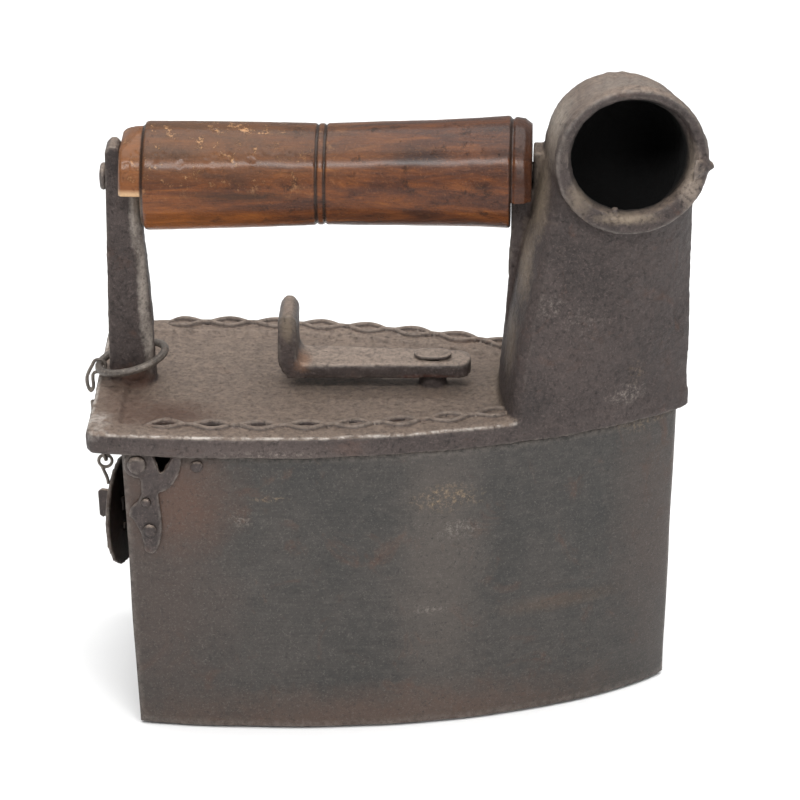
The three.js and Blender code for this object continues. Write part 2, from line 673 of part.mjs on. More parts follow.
// turned wooden grip, notched below at both ends to seat over the casting
function handleGrip() {
  const start = HANDLE.rear + GAP;
  const end = HANDLE.front - GAP;
  const profile = [[0, start - 1], [15.4, start - 1], [16.6, start + 1], [17, -85], [18.5, -84.4],
    [18.4, -66], [17.6, -30], [17.4, -24], [17.6, -10], [18.1, 14], [18.6, 30], [19.1, 40.8],
    [18.2, 41.3], [18.7, 42.4], [18.2, 45.5], [16.2, end + 1], [0, end + 1]];
  const geometry = new THREE.LatheGeometry(profile.map(([r, x]) => new THREE.Vector2(r, x)), 24);
  geometry.rotateZ(-Math.PI / 2);
  geometry.rotateY(-Math.atan(HANDLE_SLOPE));
  geometry.translate(0, 0, handleAxis(0));
  const shoulder = HANDLE_SHOULDER + GAP;
  const rearNotch = box(-96, -85.6 + GAP, -30, 30, 160, shoulder);
  const frontNotch = box(40.8 - GAP, 60, -30, 30, 160, shoulder);
  const turned = solid(geometry).intersect(box(start, end, -30, 30, 160, 220));
  return cut(turned, handleBar(-110, 60, ROD_RADIUS + GAP), rearNotch, frontNotch);
}

// ---------------------------------------------------------------------- latch

function thumbLever() {
  const { heel, rearHalf, frontHalf, front, tabTop } = LEVER;
  const bend = LATCH.x + front - 5;
  const arm = new THREE.Shape();
  arm.moveTo(heel, -rearHalf);
  arm.lineTo(bend, -frontHalf);
  arm.quadraticCurveTo(LATCH.x + front, -frontHalf, LATCH.x + front, 0);
  arm.quadraticCurveTo(LATCH.x + front, frontHalf, bend, frontHalf);
  arm.lineTo(heel, rearHalf);
  const bottom = LATCH.bossTop + GAP;
  const tabEdge = [[-34, bottom], [-31.8, LATCH.armTop], [-32.7, 124], [-32.7, tabTop - 2.6],
    [-34.4, tabTop], [-37.4, tabTop], [-39.2, tabTop - 2.6], [-39.4, 122], [-37.6, 117.6]];
  const tab = sidePlate(tabEdge, -rearHalf, rearHalf);
  const shaft = rod([LATCH.x, 0, 110], [LATCH.x, 0, 125], LATCH.shaft + GAP, 20);
  return cut(joined(flatPlate(arm, bottom, LATCH.armTop), tab), shaft);
}

// pivot pin with an oblong head above the lever and a round foot below the catch
function latchPin() {
  const foot = { top: CATCH.bottom - GAP, thickness: 1.3, radius: 4.6 };
  const footBottom = foot.top - foot.thickness;
  const shaft = rod([LATCH.x, 0, footBottom + 0.2], [LATCH.x, 0, LATCH.shaftTop], LATCH.shaft, 20);
  const base = LATCH.armTop + GAP;
  const { halfLength, halfWidth, thickness } = PIN_HEAD;
  const outlineShape = new THREE.Shape();
  outlineShape.absarc(LATCH.x + halfLength - halfWidth, 0, halfWidth, -Math.PI / 2, Math.PI / 2, false);
  outlineShape.absarc(LATCH.x - halfLength + halfWidth, 0, halfWidth, Math.PI / 2, 1.5 * Math.PI, false);
  const head = flatPlate(outlineShape, base, base + thickness);
  const round = rod([LATCH.x, 0, footBottom], [LATCH.x, 0, foot.top], foot.radius, 16);
  return joined(shaft, head, round);
}

// arm under the lid that swings beneath the keeper
function latchCatch() {
  const arm = new THREE.Shape();
  arm.absarc(0, 0, 7, Math.PI / 2, (3 * Math.PI) / 2, false);
  arm.lineTo(CATCH.reach - 6, -4.5);
  arm.quadraticCurveTo(CATCH.reach, -4.5, CATCH.reach, 0);
  arm.quadraticCurveTo(CATCH.reach, 4.5, CATCH.reach - 6, 4.5);
  const options = { depth: CATCH.top - CATCH.bottom, bevelEnabled: false, curveSegments: 10 };
  const geometry = new THREE.ExtrudeGeometry(arm, options);
  geometry.rotateZ(THREE.MathUtils.degToRad(CATCH.angle));
  geometry.translate(LATCH.x, 0, CATCH.bottom);
  const shaft = rod([LATCH.x, 0, 80], [LATCH.x, 0, 110], LATCH.shaft + GAP, 20);
  return cut(solid(geometry), shaft);
}

// ---------------------------------------------------------------------- chain

function postRing() {
  const geometry = new THREE.TorusGeometry(RING.radius, RING.wire, 8, 28);
  geometry.rotateY(THREE.MathUtils.degToRad(-RING.tilt));
  geometry.translate(RING.x, 0, RING.z);
  return geometry;
}

// where the ring's wire passes behind the post
function ringHeel() {
  const tilt = THREE.MathUtils.degToRad(RING.tilt);
  return [RING.x - RING.radius * Math.cos(tilt), RING.z - RING.radius * Math.sin(tilt)];
}

// a wire looped once round the ring, its tail hanging behind the lid
function upperLink() {
  const [x, z] = ringHeel();
  const loop = RING.wire + WIRE + GAP;
  const points = [];
  for (const degrees of [-60, 0, 60, 120, 180]) {
    const angle = THREE.MathUtils.degToRad(degrees);
    points.push([x + loop * Math.cos(angle), 0, z + loop * Math.sin(angle)]);
  }
  points.push([x - 4.2, 0, 111.5], [x - 4, 0, 108], [x - 3, 0, 105.9], [x - 2.1, 0, 107.6],
    [x - 2.2, 0, 110.6], [x - 1.9, 0, 112.9]);
  return wire(points, WIRE, true, 32);
}

const HOOK = { x: -100.5, y: -2.5, eye: 80.5, eyeRadius: 2.35, foot: 71.2 };

const LINK = { half: 1.9, top: 101.4, lean: 0.2 }; // lean is outwards per unit of height

// closed stadium-shaped link, one end through the hook's eye
function lowerLink() {
  const low = HOOK.eye + HOOK.eyeRadius;
  const points = [];
  const halfTurn = (centre, angles) => {
    for (const degrees of angles) {
      const angle = THREE.MathUtils.degToRad(degrees);
      const z = centre + LINK.half * Math.sin(angle);
      points.push([HOOK.x - LINK.lean * (z - low), HOOK.y + LINK.half * Math.cos(angle), z]);
    }
  };
  halfTurn(low, [180, 225, 270, 315, 360]);
  halfTurn(LINK.top, [0, 45, 90, 135, 180]);
  return wire(points, WIRE, true, 32);
}

// an eye with a stem down to the fin of the door
function doorHook() {
  const { x, y, eye, eyeRadius, foot } = HOOK;
  const ring = new THREE.TorusGeometry(eyeRadius, WIRE, 6, 16);
  ring.rotateX(Math.PI / 2);
  ring.translate(x, y, eye);
  const stem = wire([[x - 1.2, y, eye - 2.2], [x - 0.5, y, eye - 4], [x + 0.6, y, foot + 2.5],
    [x + 0.9, y, foot + 0.4]], WIRE, false, 10);
  return joined(solid(ring), solid(stem));
}

// ------------------------------------------------------------------- assembly

const iron = new THREE.Group();
iron.name = 'charcoal_iron';

function place(parent, name, shape, kind) {
  const geometry = shape.isBufferGeometry ? shape : geometryOf(shape);
  const mesh = new THREE.Mesh(geometry, material(kind));
  mesh.name = name;
  parent.add(mesh);
}

// local +Z runs up the leaning rear panel, whose outer face is the plane x = 0
const heelGroup = new THREE.Group();
heelGroup.position.set(BOX_BOTTOM.heel, 0, 0);
heelGroup.rotation.y = -PANEL_TILT;
iron.add(heelGroup);

const doorGroup = new THREE.Group();
doorGroup.position.set(DOOR_HINGE.x, DOOR_HINGE.y, 0);
doorGroup.rotation.z = THREE.MathUtils.degToRad(-DOOR.ajar);
heelGroup.add(doorGroup);
const doorPieces = new THREE.Group();
doorPieces.position.set(-DOOR_HINGE.x, -DOOR_HINGE.y, 0);
doorGroup.add(doorPieces);

place(iron, 'body_shell', bodyShell(), 'sheetIron');
place(iron, 'sole_plate', solePlate(), 'castIron');
place(iron, 'grate', grate(), 'rustySteel');
place(iron, 'hinge_pin', hingePin(), 'steel');
place(iron, 'latch_keeper', latchKeeper(), 'steel');
place(iron, 'keeper_rivet', keeperRivet(), 'steel');
for (const [sideName, side] of Object.entries(SIDES)) {
  place(iron, `hinge_strap_${sideName}`, hingeStrap(side), 'steel');
  for (const [rivetName, rivet] of Object.entries(RIVETS)) {
    const standOff = rivetName === 'wall_rivet' ? GAP + 0.1 : 2 * GAP + 1.3;
    place(iron, `${rivetName}_${sideName}`, wallRivet(rivet, side, standOff), 'steel');
  }
}

place(heelGroup, 'rear_panel', rearPanel(), 'sheetIron');
place(heelGroup, 'door_bracket', doorBracket(), 'steel');
place(heelGroup, 'door_hinge_pin', doorPin(), 'steel');
bracketRivetPlaces().forEach((spot, i) => {
  place(heelGroup, `bracket_rivet_${i + 1}`, bracketRivet(spot), 'steel');
});
place(doorPieces, 'draught_door', doorDisc(), 'sheetIron');
place(doorPieces, 'door_knob', doorKnob(), 'steel');
place(doorPieces, 'door_rivet', doorRivet(), 'steel');

place(iron, 'lid_casting', lidCasting(), 'castIron');
place(iron, 'handle_rod', handleRod(), 'steel');
place(iron, 'handle_grip', handleGrip(), 'wood');
place(iron, 'thumb_lever', thumbLever(), 'steel');
place(iron, 'latch_pin', latchPin(), 'steel');
place(iron, 'latch_catch', latchCatch(), 'rustySteel');

place(iron, 'post_ring', postRing(), 'wire');
place(iron, 'upper_link', upperLink(), 'wire');
place(iron, 'lower_link', lowerLink(), 'wire');
place(iron, 'door_hook', doorHook(), 'wire');

export default iron;
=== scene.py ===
import json
import math

import bmesh
import bpy
import numpy as np
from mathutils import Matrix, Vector, noise

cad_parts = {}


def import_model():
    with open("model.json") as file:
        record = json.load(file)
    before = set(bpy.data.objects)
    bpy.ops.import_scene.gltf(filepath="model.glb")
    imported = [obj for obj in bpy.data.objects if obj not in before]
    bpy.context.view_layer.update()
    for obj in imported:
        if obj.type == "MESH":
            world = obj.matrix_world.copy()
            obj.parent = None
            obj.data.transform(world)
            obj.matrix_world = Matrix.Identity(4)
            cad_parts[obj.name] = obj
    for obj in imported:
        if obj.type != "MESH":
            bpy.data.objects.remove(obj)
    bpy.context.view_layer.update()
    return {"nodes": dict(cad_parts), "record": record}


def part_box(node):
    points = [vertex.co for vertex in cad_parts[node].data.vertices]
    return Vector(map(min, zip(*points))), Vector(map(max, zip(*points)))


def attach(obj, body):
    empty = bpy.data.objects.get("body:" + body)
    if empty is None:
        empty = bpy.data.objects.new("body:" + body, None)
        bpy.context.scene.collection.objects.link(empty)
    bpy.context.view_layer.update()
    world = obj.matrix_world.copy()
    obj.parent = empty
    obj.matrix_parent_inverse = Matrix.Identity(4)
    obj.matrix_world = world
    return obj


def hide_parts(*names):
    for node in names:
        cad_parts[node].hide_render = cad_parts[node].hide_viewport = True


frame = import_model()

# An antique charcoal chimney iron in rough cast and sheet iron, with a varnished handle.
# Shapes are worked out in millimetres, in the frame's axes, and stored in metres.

MM = 0.001

# ------------------------------------------------------------ driving dimensions

LID = {"heel": -102.5, "toe": 102.5, "half": 52.0, "bottom": 104.5, "top": 112.2}
SKIRT_WALL = 2.6
PLATE_UNDERSIDE = 107.6
TRAY_FLOOR = 110.9
TRAY_RIM = 12.4
TRAY_HEEL = -92.0
LID_VOXEL = 0.62
RELIEF = {"first": -83.0, "last": 49.0, "spacing": 16.6, "eye": 12.8, "swing": 3.1, "sunk": 0.25,
          "half_width": 1.25, "height": 1.5, "taper": 6}
RELIEF_INSIDE = {-1: 10.3, 1: 4.4}  # from the rim, on the near side and on the far one

BOX_LOW = {"z": 0.0, "heel": -85.9, "toe": 95.9, "half": 48.8}
BOX_HIGH = {"z": 104.2, "heel": -90.6, "toe": 98.6, "half": 48.4}
SHEET = 1.5
SHELL_LIFT = 0.8
SOLE_THICKNESS = 6.0
GAP = 0.3

HINGE = {"x": -85.2, "z": 100.4, "radius": 2.5, "ear": 5.0}

CHIMNEY = {"base_x": 72.0, "corner_x": 43.8, "rear_x": 36.5, "base": 107.4}
CHIMNEY_RADIUS = 25.7
CHIMNEY_WALL = 5.0
ELBOW = np.array([77.5, 0.0, 200.0])
MOUTH = np.array([82.0, -29.5, 205.7])
MOUTH_RADIUS = 26.1
MOUTH_DEPTH = 6.0
MOUTH_HOLE = {"wide": 20.8, "high": 20.2, "raised": 1.9}
MOUTH_WAY = (MOUTH - ELBOW) * [1, 1, 0] / np.hypot(*(MOUTH - ELBOW)[:2])  # level, out of the mouth
UP = np.array([0.0, 0.0, 1.0])
MOUTH_RIGHT = np.cross(UP, MOUTH_WAY)

HANDLE = {"front": 48.1, "rear": -93.0, "z": 190.6, "drop": 3.8}
SHOULDER = 185.6  # where the casting carries both ends of the grip
ROD_RADIUS = 3.5
ROD_END = 53.6
POST = {"half": 5.2, "flat_half": 2.6, "bevel": 3.0, "rise": 13.6}
LUG_HALF = 6.0
BURR = {"inside": 1.6, "below": 2.5, "from": 20, "to": 27.6, "radius": 5.6, "tip": 1.1}
NIB = {"inside": 1.8, "left": 6.5, "below": 18.2, "root": 2, "rise": 1.8, "radius": 2.6, "tip": 0.9}
LATCH_X = 14.0
LATCH_SHAFT = 3.0
BOSS = {"radius": 4.8, "top": 115.7}


# --------------------------------------------------------------- mesh building

def new_object(name, vertices, faces):
    """An object in the scene from vertices in millimetres and faces."""
    mesh = bpy.data.meshes.new(name)
    mesh.from_pydata((np.asarray(vertices, float) * MM).tolist(), [], faces)
    mesh.update()
    piece = bpy.data.objects.new(name, mesh)
    bpy.context.scene.collection.objects.link(piece)
    return piece


def skin(name, rings):
    """A closed skin over rings of equal length, with flat caps on the first and last."""
    count = len(rings[0])
    faces = []
    for level in range(len(rings) - 1):
        low = level * count
        high = low + count
        for i in range(count):
            j = (i + 1) % count
            faces.append((low + i, low + j, high + j, high + i))
    last = (len(rings) - 1) * count
    faces.append(tuple(reversed(range(count))))
    faces.append(tuple(range(last, last + count)))
    return new_object(name, np.concatenate(rings), faces)


def bar(name, start, end, radius, end_radius=None, sides=48):
    """A round bar, or a cone, from one point to another."""
    start = np.asarray(start, float)
    end = np.asarray(end, float)
    along = (end - start) / np.linalg.norm(end - start)
    side = np.cross(along, [0.0, 0.0, 1.0])
    if np.linalg.norm(side) < 0.1:
        side = np.array([0.0, 1.0, 0.0])
    side /= np.linalg.norm(side)
    up = np.cross(side, along)
    turn = np.linspace(0, 2 * math.pi, sides, endpoint=False)[:, None]
    circle = np.cos(turn) * side + np.sin(turn) * up
    return skin(name, [end + circle * (end_radius or radius), start + circle * radius])


def ball(name, centre, radius):
    piece = new_object(name, [[0, 0, 0]], [])
    shape = bmesh.new()
    bmesh.ops.create_uvsphere(shape, u_segments=64, v_segments=32, radius=radius * MM)
    bmesh.ops.translate(shape, verts=shape.verts, vec=Vector(np.asarray(centre) * MM))
    shape.to_mesh(piece.data)
    shape.free()
    return piece


def block(name, low, high):
    (x0, y0, z0), (x1, y1, z1) = low, high
    ring = [(x0, y0), (x1, y0), (x1, y1), (x0, y1)]
    return skin(name, [np.array([(x, y, z) for x, y in ring]) for z in (z0, z1)])


def side_plate(name, edge, half):
    """A plate whose outline lies in the XZ plane, as wide as half to each side."""
    rings = [np.array([(x, y, z) for x, z in edge]) for y in (half, -half)]
    return skin(name, rings)


def bake(piece):
    """Applies the modifiers of a piece."""
    depsgraph = bpy.context.evaluated_depsgraph_get()
    mesh = bpy.data.meshes.new_from_object(piece.evaluated_get(depsgraph), depsgraph=depsgraph)
    piece.modifiers.clear()
    old = piece.data
    piece.data = mesh
    bpy.data.meshes.remove(old)


def combine(piece, others, operation):
    """A boolean of a piece with others, which are used up."""
    for other in others:
        step = piece.modifiers.new("combine", "BOOLEAN")
        step.operation = operation
        step.solver = "MANIFOLD"
        step.object = other
    bake(piece)
    for other in others:
        bpy.data.objects.remove(other)
    return piece


def join(piece, *others):
    return combine(piece, others, "UNION")


def cut(piece, *tools):
    return combine(piece, tools, "DIFFERENCE")


def remesh(piece, voxel):
    step = piece.modifiers.new("remesh", "REMESH")
    step.mode = "VOXEL"
    step.voxel_size = voxel * MM
    bake(piece)


def drop_fragments(piece):
    """Leaves only the largest connected part of a mesh."""
    shape = bmesh.new()
    shape.from_mesh(piece.data)
    parts = []
    for start in shape.verts:
        if start.tag:
            continue
        start.tag = True
        part = [start]
        for vertex in part:  # the list grows while it is walked
            for edge in vertex.link_edges:
                other = edge.other_vert(vertex)
                if not other.tag:
                    other.tag = True
                    part.append(other)
        parts.append(part)
    parts.sort(key=len)
    fragments = [vertex for part in parts[:-1] for vertex in part]
    bmesh.ops.delete(shape, geom=fragments, context="VERTS")
    shape.to_mesh(piece.data)
    shape.free()


def positions(mesh):
    values = np.zeros(len(mesh.vertices) * 3)
    mesh.vertices.foreach_get("co", values)
    return values.reshape(-1, 3) / MM


def put_positions(mesh, points):
    mesh.vertices.foreach_set("co", (points * MM).ravel())
    mesh.update()


def normals(mesh):
    values = np.zeros(len(mesh.vertices) * 3)
    mesh.vertex_normals.foreach_get("vector", values)
    return values.reshape(-1, 3)


def relax(piece, steps, weight=None, keep_volume=True):
    """Smooths a mesh; weight, one number per vertex, limits where."""
    mesh = piece.data
    points = positions(mesh)
    edges = np.zeros(len(mesh.edges) * 2, int)
    mesh.edges.foreach_get("vertices", edges)
    a, b = edges.reshape(-1, 2).T
    count = len(points)
    degree = np.maximum(np.bincount(a, minlength=count) + np.bincount(b, minlength=count), 1)
    share = np.ones(count) if weight is None else weight
    for step in range(steps * (2 if keep_volume else 1)):
        factor = -0.53 if keep_volume and step % 2 else 0.5
        for axis in range(3):
            column = points[:, axis]
            total = np.bincount(a, column[b], count) + np.bincount(b, column[a], count)
            points[:, axis] = column + factor * share * (total / degree - column)
    put_positions(mesh, points)


def roughen(piece, depth, size, octaves=3, seed=0.0, weight=None):
    """Moves the surface in and out by a fractal noise whose largest lumps have that size."""
    mesh = piece.data
    points = positions(mesh)
    outward = normals(mesh)
    offset = Vector((seed, seed * 1.7, -seed))
    amount = np.array([noise.fractal(Vector(p / size) + offset, 1.0, 2.0, octaves) for p in points])
    if weight is not None:
        amount *= weight
    put_positions(mesh, points + outward * (depth * amount)[:, None])


def smooth_shading(piece):
    flags = np.ones(len(piece.data.polygons), bool)
    piece.data.polygons.foreach_set("use_smooth", flags)


def near(points, low, high, fade=3.0):
    """1 inside a box of space, fading to 0 over a distance outside it."""
    outside = np.maximum(np.maximum(np.asarray(low) - points, points - np.asarray(high)), 0)
    distance = np.linalg.norm(outside, axis=1)
    return np.clip(1 - distance / fade, 0, 1)


# ---------------------------------------------------------------- the iron's shape

WIDEST_AT = 0.22
HEEL_NARROWING = 0.05
TOE_SHARPNESS = 2.1
TOE_FULLNESS = 0.8


def outline_width(s):
    """Half-width as a fraction of the greatest, from heel (0) to toe (1)."""
    s = np.clip(np.asarray(s, float), 0, 1)
    behind = 1 - HEEL_NARROWING * ((WIDEST_AT - s) / WIDEST_AT) ** 2
    to_toe = np.clip((s - WIDEST_AT) / (1 - WIDEST_AT), 0, 1)
    ahead = (1 - to_toe ** TOE_SHARPNESS) ** TOE_FULLNESS
    return np.where(s < WIDEST_AT, behind, ahead)


def outline(heel, toe, half, z, corner=3.0, steps=110):
    """The outline as a ring of points, counter-clockwise from the near heel corner."""
    u = np.linspace(0, 1, steps)
    s = (1 - (1 - u) ** 2) * (0.35 + 0.65 * np.sqrt(u))
    x = heel + s * (toe - heel)
    y = half * outline_width(s)
    rounding = np.clip(corner - (x - heel), 0, corner)
    y = y - (corner - np.sqrt(np.maximum(corner ** 2 - rounding ** 2, 0)))
    near_side = np.column_stack([x, -y, np.full(steps, z)])
    far_side = np.column_stack([x, y, np.full(steps, z)])[::-1]
    return np.concatenate([near_side, far_side[1:]])


def lid_ring(z, inset=0.0):
    return outline(LID["heel"] + inset, LID["toe"] - 1.4 * inset, LID["half"] - inset, z)


def box_at(z):
    t = z / BOX_HIGH["z"]
    return {key: BOX_LOW[key] + t * (BOX_HIGH[key] - BOX_LOW[key]) for key in ("heel", "toe", "half")}


def box_ring(z, inset=0.0):
    size = box_at(z)
    return outline(size["heel"], size["toe"] - 1.4 * inset, size["half"] - inset, z, corner=0.4)


# ----------------------------------------------------------------------- the lid

def chimney_foot(inset):
    """The chimney's outline where it stands on the lid: the toe, closed by a bowed rear wall."""
    toe = lid_ring(0, 0.2)[:, :2]
    toe = toe[toe[:, 0] > CHIMNEY["corner_x"]]
    half_chord = abs(toe[0, 1]) - 2.5
    across = np.linspace(-1, 1, 41)
    bow = (CHIMNEY["corner_x"] - 2.5 - CHIMNEY["rear_x"]) * (1 - across ** 2)
    rear = np.column_stack([CHIMNEY["corner_x"] - 2.5 - bow, -across * half_chord])
    ring = np.concatenate([toe, rear])
    centre = np.array([CHIMNEY["base_x"], 0.0])
    away = ring - centre
    length = np.linalg.norm(away, axis=1, keepdims=True)
    return centre + away * (length - inset) / length


def reaches(ring, directions):
    """The distance from the foot's centre to its edge in each direction."""
    away = ring - np.array([CHIMNEY["base_x"], 0.0])
    angle = np.unwrap(np.arctan2(away[:, 1], away[:, 0]))
    order = np.argsort(angle)
    length = np.linalg.norm(away, axis=1)
    return np.interp(directions, angle[order], length[order], period=2 * math.pi)


def chimney_body(name, inset, base, levels=30):
    """The chimney's shaft, which goes over from the toe's outline to a round neck."""
    directions = np.linspace(0, 2 * math.pi, 160, endpoint=False)
    foot = reaches(chimney_foot(inset), directions)
    neck = CHIMNEY_RADIUS - inset
    rings = []
    for part in np.linspace(0, 1, levels):
        blend = part ** 1.5
        reach = foot * (1 - blend) + neck * blend
        centre = CHIMNEY["base_x"] + (ELBOW[0] - CHIMNEY["base_x"]) * blend
        height = base + part * (ELBOW[2] - base)
        ring = [centre + reach * np.cos(directions), reach * np.sin(directions), np.full(160, height)]
        rings.append(np.column_stack(ring))
    return skin(name, rings)


def upright_tube(name, sections):
    """A tube along the mouth's way; each section has a centre, a half-width and a half-height."""
    turn = np.linspace(0, 2 * math.pi, 96, endpoint=False)[:, None]
    rings = [centre - np.cos(turn) * wide * MOUTH_RIGHT + np.sin(turn) * high * UP
             for centre, wide, high in reversed(sections)]
    return skin(name, rings)


def mouth_hole(name, sections):
    """A tool that cuts the mouth's oval hole; each section has a depth and a widening."""
    centre = MOUTH + UP * MOUTH_HOLE["raised"]
    wide, high = MOUTH_HOLE["wide"], MOUTH_HOLE["high"]
    return upright_tube(name, [(centre + MOUTH_WAY * depth, wide + grow, high + grow)
                               for depth, grow in sections])


def chimney_flue(name, inset, base, past_mouth):
    """The chimney as a solid, from the lid up round the elbow and out to the mouth."""
    neck = CHIMNEY_RADIUS - inset
    rise = (MOUTH - ELBOW) / np.linalg.norm((MOUTH - ELBOW)[:2])
    barrel = upright_tube(name + "_barrel", [(ELBOW, neck, neck), (MOUTH + rise * past_mouth, neck, neck)])
    return join(chimney_body(name, inset, base), ball(name + "_elbow", ELBOW, neck), barrel)


def mouth_ring():
    """The raised ring round the mouth, its front edge rounded, with one burr on its outer side."""
    start = MOUTH - MOUTH_WAY * MOUTH_DEPTH
    steps = [(0, 0.5), (1, 0), (MOUTH_DEPTH - 0.8, 0), (MOUTH_DEPTH, 0.7)]
    sections = [(start + MOUTH_WAY * along, MOUTH_RADIUS - less, MOUTH_RADIUS - less)
                for along, less in steps]
    ring = upright_tube("mouth_ring", sections)
    edge = MOUTH - MOUTH_WAY * BURR["inside"] - UP * BURR["below"]
    burr = bar("burr", edge + MOUTH_RIGHT * BURR["from"], edge + MOUTH_RIGHT * BURR["to"],
               BURR["radius"], BURR["tip"], sides=16)
    return join(ring, burr)


def rear_post():
    """The post at the heel, its two front edges bevelled."""
    top = SHOULDER + POST["rise"]
    front = [(-82.2, 108), (-82.2, 112.4), (-83.2, 137), (-85.6, 165), (-85.6, SHOULDER)]
    back = [(-93, SHOULDER), (-93, top - 1.6), (-94.4, top), (-96.4, top), (-98, top - 1.8), (-98, 108)]
    half, flat = POST["half"], POST["flat_half"]
    rings = []
    for y, bevel in ((half, POST["bevel"]), (flat, 0.0), (-flat, 0.0), (-half, POST["bevel"])):
        rings.append(np.array([(x - bevel, y, z) for x, z in front] + [(x, y, z) for x, z in back]))
    return skin("post", rings)


def handle_lug():
    """The flat lug on the chimney's back that carries the front of the grip."""
    front = HANDLE["front"]
    edge = [(46, 110), (60, 110), (66, 199.4), (front, 199.4), (front, SHOULDER), (40.8, SHOULDER),
            (40.8, 170), (38.6, 125)]
    return side_plate("lug", edge, LUG_HALF)


def hinge_ears():
    """The two ears under the lid that the hinge pin goes through."""
    ears = []
    size = box_at(HINGE["z"])
    s = (HINGE["x"] - 3 - size["heel"]) / (size["toe"] - size["heel"])
    outer = size["half"] * float(outline_width(s)) - SHEET - 3 * GAP
    radius = HINGE["ear"]
    for side in (-1, 1):
        ends = sorted((side * outer, side * (outer - 4)))
        disc = bar("ear", (HINGE["x"], ends[0], HINGE["z"]), (HINGE["x"], ends[1], HINGE["z"]), radius)
        stem = block("stem", (HINGE["x"] - radius, ends[0], HINGE["z"]),
                     (HINGE["x"] + radius, ends[1], PLATE_UNDERSIDE + 0.5))
        ears.append(join(disc, stem))
    return ears


def relief_ridge(side, phase):
    """One of the two ridges along a long rim, which part and meet again to form a row of eyes."""
    x = np.arange(RELIEF["first"], RELIEF["last"], 0.5)
    s = (x - LID["heel"]) / (LID["toe"] - LID["heel"])
    rim = LID["half"] * outline_width(s)
    slope = np.gradient(rim, x)
    across = np.column_stack([-slope, np.ones(len(x))]) / np.sqrt(1 + slope ** 2)[:, None]
    ends = np.clip(np.minimum(x - x[0], x[-1] - x) / RELIEF["taper"], 0, 1)
    along_eye = np.minimum((x - RELIEF["first"]) % RELIEF["spacing"] / RELIEF["eye"], 1)
    swing = RELIEF["swing"] * phase * np.sin(math.pi * along_eye)
    shift = swing - RELIEF_INSIDE[side]
    path = np.column_stack([x + across[:, 0] * shift, side * (rim + across[:, 1] * shift),
                            np.full(len(x), LID["top"] - RELIEF["sunk"])])
    along = np.gradient(path, axis=0)
    along /= np.linalg.norm(along, axis=1, keepdims=True)
    sideways = np.cross(UP, along)
    rings = []
    turn = np.linspace(0, 2 * math.pi, 12, endpoint=False)[:, None]
    for point, right, end in zip(path, sideways, ends):
        width = RELIEF["half_width"] * (0.45 + 0.55 * end)
        height = RELIEF["height"] * (0.3 + 0.7 * end)
        rings.append(point + np.cos(turn) * width * right + np.sin(turn) * height * UP)
    return skin("ridge", rings)


LID_LUMPS = ((0.34, 14, 3.1), (0.16, 2.4, 8.4))  # the depth, size and seed of the casting's roughness
FILLETS = (  # two corners of each place that is smoothed, its fade and its share
    ((34, -44, 112), (48, 44, 120), 5, 1.0),
    ((-102, -52, 112), (-90, 52, 115), 3, 0.5),
    ((50, -22, 130), (66, 22, 196), 4, 1.0),
    ((52, -24, 176), (104, 10, 224), 3, 0.6),
)
RIPPLES = {"x": 78, "above": 222, "behind": -22, "height": 0.32, "length": 5}


def lid_casting():
    """The lid's plate and skirt, chimney, post and lug in one rough casting."""
    rings = [lid_ring(z, inset) for z, inset in (
        (LID["bottom"], 0.6), (LID["bottom"] + 0.5, 0.1), (107, 0.0), (LID["top"] - 1.2, 0.0),
        (LID["top"] - 0.6, 0.25), (LID["top"] - 0.15, 1.1), (LID["top"], 2.0))]
    lid = skin("lid_casting_finish", rings)
    hollow = skin("hollow", [lid_ring(LID["bottom"] - 1, SKIRT_WALL), lid_ring(PLATE_UNDERSIDE, SKIRT_WALL)])
    tray_rings = [outline(LID["heel"], LID["toe"] - 2 * TRAY_RIM, LID["half"] - TRAY_RIM + grow, z)
                  for z, grow in ((TRAY_FLOOR, 0.0), (LID["top"] + 1, 3.2))]
    tray = skin("tray", tray_rings)
    combine(tray, [block("tray_ends", (TRAY_HEEL, -60, 100), (62, 60, 120))], "INTERSECT")
    cut(lid, hollow, tray)
    boss = bar("boss", (LATCH_X, 0, TRAY_FLOOR - 1), (LATCH_X, 0, BOSS["top"]), BOSS["radius"])
    join(lid, chimney_flue("flue", 0, CHIMNEY["base"], -0.5), mouth_ring(), rear_post(), handle_lug(), boss,
         *hinge_ears())
    cut(lid, chimney_flue("bore", CHIMNEY_WALL, LID["bottom"] - 0.5, -MOUTH_DEPTH + 1),
        mouth_hole("throat", [(-MOUTH_DEPTH - 3, 0), (3, 0)]), mouth_hole("lip", [(-2.2, 0), (1, 1.9)]))
    nib = MOUTH - MOUTH_WAY * NIB["inside"] - MOUTH_RIGHT * NIB["left"] - UP * NIB["below"]
    join(lid, bar("nib", nib - UP * NIB["root"], nib + UP * NIB["rise"] + MOUTH_RIGHT,
                  NIB["radius"], NIB["tip"], sides=16))
    remesh(lid, LID_VOXEL)
    relax(lid, 2)
    soften_lid(lid)
    free = 1 - close_fits(positions(lid.data))
    for depth, size, seed in LID_LUMPS:
        roughen(lid, depth, size, 3, seed, free)
    cut(lid, hinge_bore(49), bar("latch_hole", (LATCH_X, 0, 90), (LATCH_X, 0, 125), LATCH_SHAFT + GAP),
        bar("rod_hole", handle_axis(-110), handle_axis(ROD_END + 2 * GAP), ROD_RADIUS + GAP))
    join(lid, *[relief_ridge(side, phase) for side in (-1, 1) for phase in (-1, 1)])
    drop_fragments(lid)
    smooth_shading(lid)
    wear_and_highlight_lid(lid)
    soot_and_shade_lid(lid)
    return lid


